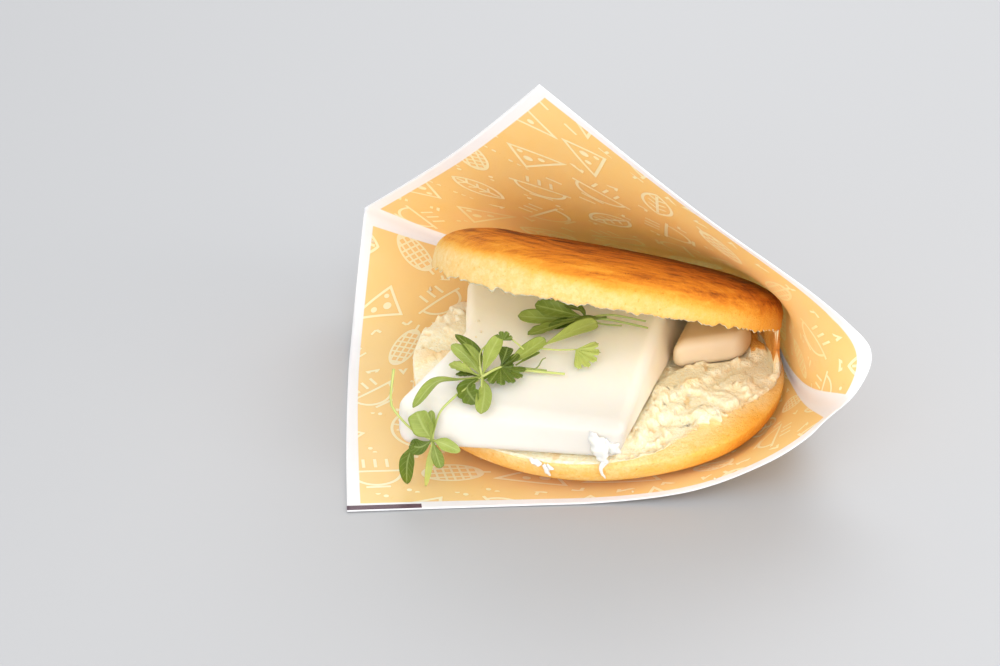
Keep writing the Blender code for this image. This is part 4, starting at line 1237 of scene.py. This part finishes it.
class Greens:
    """Stems and leaves gathered into one mesh, with tones and vein places for the material."""

    def __init__(self):
        self.shapes = []
        self.tones = []
        self.places = []

    def add(self, points, faces, tone, places):
        self.shapes.append((points, faces))
        self.tones += [tone] * len(points)
        self.places += places

    def stem(self, width, tone, *points):
        """A round stalk, a little thinner to its end."""
        steps = 16
        path = curve_through(points, steps)
        turns = [math.pi / 4 * n for n in range(8)]
        rings = []
        for k, (centre, side, rise) in enumerate(frames(path, (0.13, 0.21, 0.97))):
            radius = width / 2 * lerp(1.0, 0.8, k / (steps - 1))
            rings.append([centre + radius * (side * math.cos(t) + rise * math.sin(t)) for t in turns])
        shape, faces = skin(rings, path[0], path[-1])
        self.add(shape, faces, tone, [(0.5, 0.5)] * len(shape))

    def leaf(self, width, tone, *points, face=(0.0, 0.0, 1.0), cup=0.16, teeth=0.0, blunt=3.0,
             waist=0.58):
        """A blade on a stalk, folded along its midrib and closed on both sides.

        waist is where it is widest, blunt how full its tip is and teeth how deep its notches are.
        """
        steps, half = 26, 5
        top, bottom, places = [], [], []
        for k, (centre, side, rise) in enumerate(frames(curve_through(points, steps), face)):
            t = k / (steps - 1)
            past = max(t - waist, 0.0) / (1.0 - waist)
            blade = width * smoothstep(-0.08, waist, t) ** 1.3 * math.sqrt(1.0 - 0.985 * past ** blunt)
            blade = max(blade, 0.075)
            blade *= 1.0 + teeth * (abs(math.sin(t * math.pi * 5.5)) - 0.5) * smoothstep(0.3, 0.6, t)
            thick = lerp(0.045, 0.018, smoothstep(0.0, 0.4, t))
            for row in range(-half, half + 1):
                across = row / half
                depth = thick * (0.15 + 0.85 * (1.0 - abs(across) ** 3)) / 2
                wave = 0.035 * math.sin(9 * t + 2.2 * across) * abs(across) * width
                fold = cup * blade * (across * across - 0.35) + wave
                middle = centre + side * (blade / 2 * across) + rise * fold
                top.append(middle + rise * (depth + 0.012 * (row == 0)))
                bottom.append(middle - rise * depth)
                places.append((t, 0.5 + 0.5 * across))
        self.add(top + bottom, plate_faces(steps, 2 * half + 1), tone, places * 2)

    def fan(self, stalk, ahead, face, radius, lobes, spread=math.radians(150), tone=0.6):
        """A fan-shaped leaf with rounded, toothed lobes, square to face and growing ahead."""
        columns, steps = lobes * 8, 10
        rise = np.array(face, float)
        rise /= np.linalg.norm(rise)
        along = np.array(ahead, float)
        along -= rise * (along @ rise)
        along /= np.linalg.norm(along)
        side = np.cross(rise, along)
        top, bottom, places = [], [], []
        for k in range(steps + 1):
            for n in range(columns + 1):
                share = n / columns
                angle = spread * (share - 0.5)
                lobe = abs(math.sin(math.pi * lobes * share)) ** 0.6
                tooth = abs(math.sin(math.pi * lobes * 3 * share))
                out = radius * (0.72 + 0.19 * lobe + 0.09 * tooth)
                out *= 0.84 + 0.16 * math.sin(math.pi * (0.15 + 0.7 * share))
                reach = out * k / steps
                lift = 0.12 * reach * reach / radius
                lift += 0.035 * math.sin(2 * math.pi * lobes * share) * (reach / radius)
                place = stalk + along * reach * math.cos(angle) + side * reach * math.sin(angle)
                place += rise * lift
                half = rise * lerp(0.03, 0.012, k / steps) / 2
                top.append(place + half)
                bottom.append(place - half)
                places.append((k / steps, (lobes * share) % 1.0))
        self.add(top + bottom, plate_faces(steps + 1, columns + 1), tone, places * 2)

    def make(self, name, node, surface):
        piece = add_piece(mesh_of(name, *gathered(self.shapes), [surface]), node, node)
        give_values(piece, "tone", self.tones)
        give_map(piece, "blade", self.places)


def green_material():
    surface, tree, shader = new_material("fresh_greens", 0.42, 0.4)
    place = place_field(tree)
    along, across = read_map(tree, "blade")
    tone = read_value(tree, "tone")
    mottle = noise_field(tree, place, 0.35, 3.0)
    side = (across - 0.5).abs() * 2.0
    rib = side.under(0.10, 0.05)
    veins = (along * 7.0 - side * 1.3).from_middle(1.0).abs().under(0.09, 0.07) * side.under(0.9, 0.1)
    level = tone + (mottle - 0.5) * 0.28
    colour = colour_ramp(tree, level, [
        (0.00, (0.045, 0.078, 0.006)), (0.25, (0.115, 0.165, 0.010)), (0.50, (0.235, 0.290, 0.045)),
        (0.75, (0.38, 0.44, 0.095)), (1.00, (0.58, 0.60, 0.17))])
    leafy = along.within(0.001, 0.999, 0.001)
    colour = ((rib * 0.35).most(veins * 0.12) * leafy).mixed(colour, (0.50, 0.58, 0.20))
    tree.links.new(colour, shader.inputs["Base Color"])
    let_light_in(shader, 0.12, (0.5, 0.9, 0.2), 0.06)
    add_bump(tree, shader, mottle + veins * 0.5 - rib * 0.4, 0.015, 0.6)
    return surface


def middle_sprig():
    """The open rosette on the slab, with long stalks to the right."""
    hub = (-0.55, -4.16, 3.36)
    fork = (0.05, -3.60, 3.38)
    knee = (1.18, -2.78, 3.58)
    greens = Greens()
    greens.stem(0.1, 0.92, hub, fork, (0.62, -3.52, 3.24), (2.13, -3.68, 3.17))
    greens.stem(0.09, 0.45, fork, (0.7, -3.42, 3.24), (1.55, -3.52, 3.2))
    greens.stem(0.08, 0.85, hub, (-0.85, -4.4, 3.24), (-1.33, -4.82, 3.06))
    greens.stem(0.085, 0.88, (-0.62, -3.86, 3.56), hub, (-0.56, -4.5, 3.36), (-0.55, -4.92, 3.16))
    greens.leaf(0.5, 0.62, hub, (-0.3, -3.5, 3.8), (0.03, -2.88, 4.15), face=(0.1, -0.8, 0.6))
    greens.leaf(0.46, 0.2, hub, (-0.8, -3.22, 3.72), (-1.42, -2.66, 4.06), blunt=2.4)
    greens.leaf(0.36, 0.5, hub, (-0.74, -3.5, 3.66), (-1.16, -2.98, 3.9), face=(0.3, -0.6, 0.7))
    greens.leaf(0.44, 0.62, hub, (-1.0, -3.42, 3.6), (-1.54, -2.88, 3.8), face=(-0.3, -0.5, 0.8))
    greens.leaf(0.46, 0.68, hub, (-1.05, -3.94, 3.46), (-1.58, -3.62, 3.54), teeth=0.35, waist=0.7,
                blunt=5.0)
    greens.leaf(0.3, 0.12, hub, (-0.98, -4.02, 3.36), (-1.4, -4.0, 3.34), teeth=0.5)
    greens.leaf(0.42, 0.52, hub, (-1.3, -4.52, 3.46), (-2.06, -4.74, 3.48), (-2.72, -5.54, 3.04),
                waist=0.66, blunt=2.6)
    greens.leaf(0.62, 0.26, hub, (-1.04, -4.6, 3.24), (-0.72, -5.34, 3.06), face=(-0.4, -0.5, 0.8),
                teeth=0.25, cup=0.3)
    greens.leaf(0.52, 0.6, hub, (-0.46, -4.85, 3.27), (-0.56, -5.76, 2.95), waist=0.62)
    greens.fan(fork, (0.22, -0.95, -0.1), (0.0, -0.25, 0.96), 0.94, 6, tone=0.2)
    greens.fan(fork, (1.0, -0.15, 0.05), (0.0, -0.3, 0.95), 0.46, 4, tone=0.14)
    greens.leaf(0.46, 0.1, fork, (0.16, -3.38, 3.6), (0.28, -3.0, 3.78), blunt=5.0, waist=0.7)
    greens.leaf(0.34, 0.18, fork, (0.4, -3.4, 3.5), (0.62, -3.1, 3.58))
    greens.leaf(0.52, 0.6, fork, (0.7, -3.12, 3.54), (1.5, -2.48, 3.8), face=(-0.1, -0.5, 0.85),
                waist=0.66)
    greens.leaf(0.2, 0.52, (0.55, -3.4, 3.34), (0.9, -3.16, 3.44), (1.32, -2.92, 3.54))
    greens.stem(0.065, 0.88, hub, (-0.62, -3.4, 3.74), (-0.3, -3.04, 3.98), (0.1, -2.86, 4.07))
    greens.stem(0.06, 0.9, (0.32, -2.86, 4.06), (0.55, -2.95, 3.92), (0.8, -3.04, 3.72))
    greens.fan((0.14, -2.98, 4.02), (0.1, 0.3, 0.9), (0.0, -0.9, 0.3), 0.34, 4, spread=math.radians(170),
               tone=0.26)
    greens.stem(0.05, 0.1, (0.95, -3.56, 3.21), (1.24, -3.42, 3.26), (1.4, -3.14, 3.38),
                (1.52, -3.04, 3.4))
    greens.stem(0.065, 0.9, fork, (0.6, -3.22, 3.46), knee, (1.9, -2.7, 3.5), (2.52, -2.74, 3.54))
    greens.fan((2.5, -2.76, 3.55), (0.82, -0.5, -0.28), (0.05, -0.5, 0.86), 0.84, 5,
               spread=math.radians(125), tone=0.8)
    greens.leaf(0.56, 0.76, knee, (1.7, -2.32, 3.6), (2.6, -1.52, 3.62), (3.27, -0.98, 3.58),
                face=(0.0, -0.5, 0.85), waist=0.8, blunt=3.0)
    return greens


def back_sprig():
    """The bunch tucked under the lip of the top half."""
    tie = (2.90, -0.68, 3.55)
    greens = Greens()
    greens.stem(0.09, 0.55, tie, (3.72, -0.68, 3.49), (4.97, -1.04, 3.38))
    greens.stem(0.08, 0.66, tie, (3.75, -0.54, 3.6), (4.91, -0.8, 3.5))
    greens.stem(0.07, 0.4, tie, (3.4, -0.86, 3.44), (4.1, -0.92, 3.4))
    greens.leaf(0.6, 0.52, tie, (1.8, -0.72, 3.58), (0.63, -0.6, 3.6), face=(0.0, -0.4, 0.9), waist=0.7)
    greens.leaf(0.52, 0.46, tie, (1.9, -1.05, 3.5), (0.96, -1.56, 3.42), teeth=0.25, waist=0.66)
    greens.leaf(0.62, 0.34, tie, (2.1, -0.56, 3.76), (1.2, -0.5, 3.96), face=(0.0, -0.5, 0.8), teeth=0.3,
                waist=0.62)
    greens.leaf(0.4, 0.16, tie, (2.3, -0.86, 3.5), (1.66, -1.16, 3.46), face=(0.1, -0.3, 0.9))
    greens.leaf(0.5, 0.22, tie, (2.75, -0.46, 3.75), (2.15, -0.26, 3.88))
    greens.leaf(0.4, 0.3, (3.6, -0.62, 3.56), (3.1, -0.8, 3.6), (2.5, -0.9, 3.56))
    return greens


def front_sprig():
    """The stalks and leaves that hang over the front left of the slab."""
    hub = (-2.12, -5.74, 1.95)
    side = (-2.86, -5.60, 1.66)
    greens = Greens()
    greens.stem(0.08, 0.8, (-1.33, -4.86, 3.12), (-1.84, -5.28, 2.78), (-2.06, -5.62, 2.3), hub)
    greens.stem(0.09, 0.92, (-3.36, -4.5, 3.84), (-3.46, -4.9, 2.96), (-3.3, -5.16, 2.64),
                (-2.76, -5.52, 2.2), hub)
    greens.leaf(0.72, 0.56, hub, (-2.4, -5.7, 2.4), (-2.62, -5.5, 2.86), face=(-0.2, -0.9, 0.4),
                blunt=9.0, waist=0.5)
    greens.leaf(0.26, 0.48, (-2.16, -5.76, 1.92), (-2.14, -5.66, 2.44), (-2.16, -5.52, 2.92),
                face=(0.2, -0.9, 0.3), blunt=6.0)
    greens.leaf(0.52, 0.18, hub, (-2.5, -5.82, 1.74), side, face=(-0.2, -0.8, 0.6), cup=0.26)
    greens.leaf(0.5, 0.22, (-2.72, -5.66, 1.8), (-2.94, -5.72, 1.1), (-2.98, -5.7, 0.26),
                face=(-0.2, -0.9, 0.2), waist=0.45, blunt=1.9)
    greens.leaf(0.42, 0.62, hub, (-1.8, -5.88, 1.92), (-1.24, -6.02, 1.7), face=(0.0, -0.8, 0.6),
                waist=0.45, blunt=1.8)
    greens.leaf(0.38, 0.4, hub, (-2.0, -5.95, 1.56), (-1.86, -6.06, 1.1), face=(0.2, -0.9, 0.2))
    greens.leaf(0.24, 0.9, hub, (-2.2, -5.9, 1.3), (-2.36, -5.74, 0.2), face=(0.1, -0.95, 0.2), waist=0.4,
                blunt=1.8)
    return greens


# Stage, light and camera

def make_stage():
    bpy.ops.mesh.primitive_plane_add(size=6.0, location=(0.0, 0.0, -0.0004))
    floor = bpy.context.active_object
    floor.name = "floor"
    surface, _, shader = new_material("pale_floor", 0.55, 0.3)
    shader.inputs["Base Color"].default_value = (0.415, 0.42, 0.43, 1.0)
    floor.data.materials.append(surface)

    world = bpy.data.worlds.new("studio")
    bpy.context.scene.world = world
    world.use_nodes = True
    world.node_tree.nodes["Background"].inputs["Color"].default_value = (0.97, 0.98, 1.0, 1.0)
    world.node_tree.nodes["Background"].inputs["Strength"].default_value = 0.97


def make_lights():
    """Large soft lights; each row has place, aim height, size, power and colour, in metres and watts."""
    for name, place, aim, size, power, colour in (
            ("key", (-0.15, -0.85, 0.78), 0.03, (1.0, 0.7), 4.4, (1.0, 0.99, 0.97)),
            ("front", (-0.25, -1.10, 0.34), 0.03, (1.2, 0.5), 3.6, (1.0, 0.985, 0.97)),
            ("right", (0.85, -0.65, 0.42), 0.03, (0.8, 0.6), 4.6, (1.0, 0.985, 0.97)),
            ("back", (0.20, 0.68, 0.80), 0.05, (0.9, 0.6), 5.6, (1.0, 0.99, 0.98))):
        lamp = bpy.data.lights.new(name, "AREA")
        lamp.shape = "RECTANGLE"
        lamp.size, lamp.size_y = size
        lamp.energy = power
        lamp.color = colour
        light = bpy.data.objects.new(name, lamp)
        light.location = place
        towards = Vector((0.0, 0.0, aim)) - Vector(place)
        light.rotation_euler = towards.to_track_quat("-Z", "Y").to_euler()
        bpy.context.scene.collection.objects.link(light)


def make_camera():
    lens = bpy.data.cameras.new("camera")
    lens.lens = CAMERA_LENS
    lens.sensor_width = 36.0
    camera = bpy.data.objects.new("camera", lens)
    camera.location = (Vector(CAMERA_PLACE) - Vector((*MIDDLE, 0.0))) * CM
    camera.rotation_euler = (math.pi / 2 - CAMERA_PITCH, 0.0, 0.0)
    bpy.context.scene.collection.objects.link(camera)
    bpy.context.scene.camera = camera
    bpy.context.scene.view_settings.view_transform = "Standard"


def main():
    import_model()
    make_sleeve()
    dough = make_bread()
    curd = cheese_material()
    make_cheese(curd)
    make_drips(curd)
    make_crumbs(dough)
    green = green_material()
    middle_sprig().make("greens_middle", "sprig_middle", green)
    back_sprig().make("greens_back", "sprig_back", green)
    front_sprig().make("greens_front", "sprig_front", green)
    make_stage()
    make_lights()
    make_camera()


main()
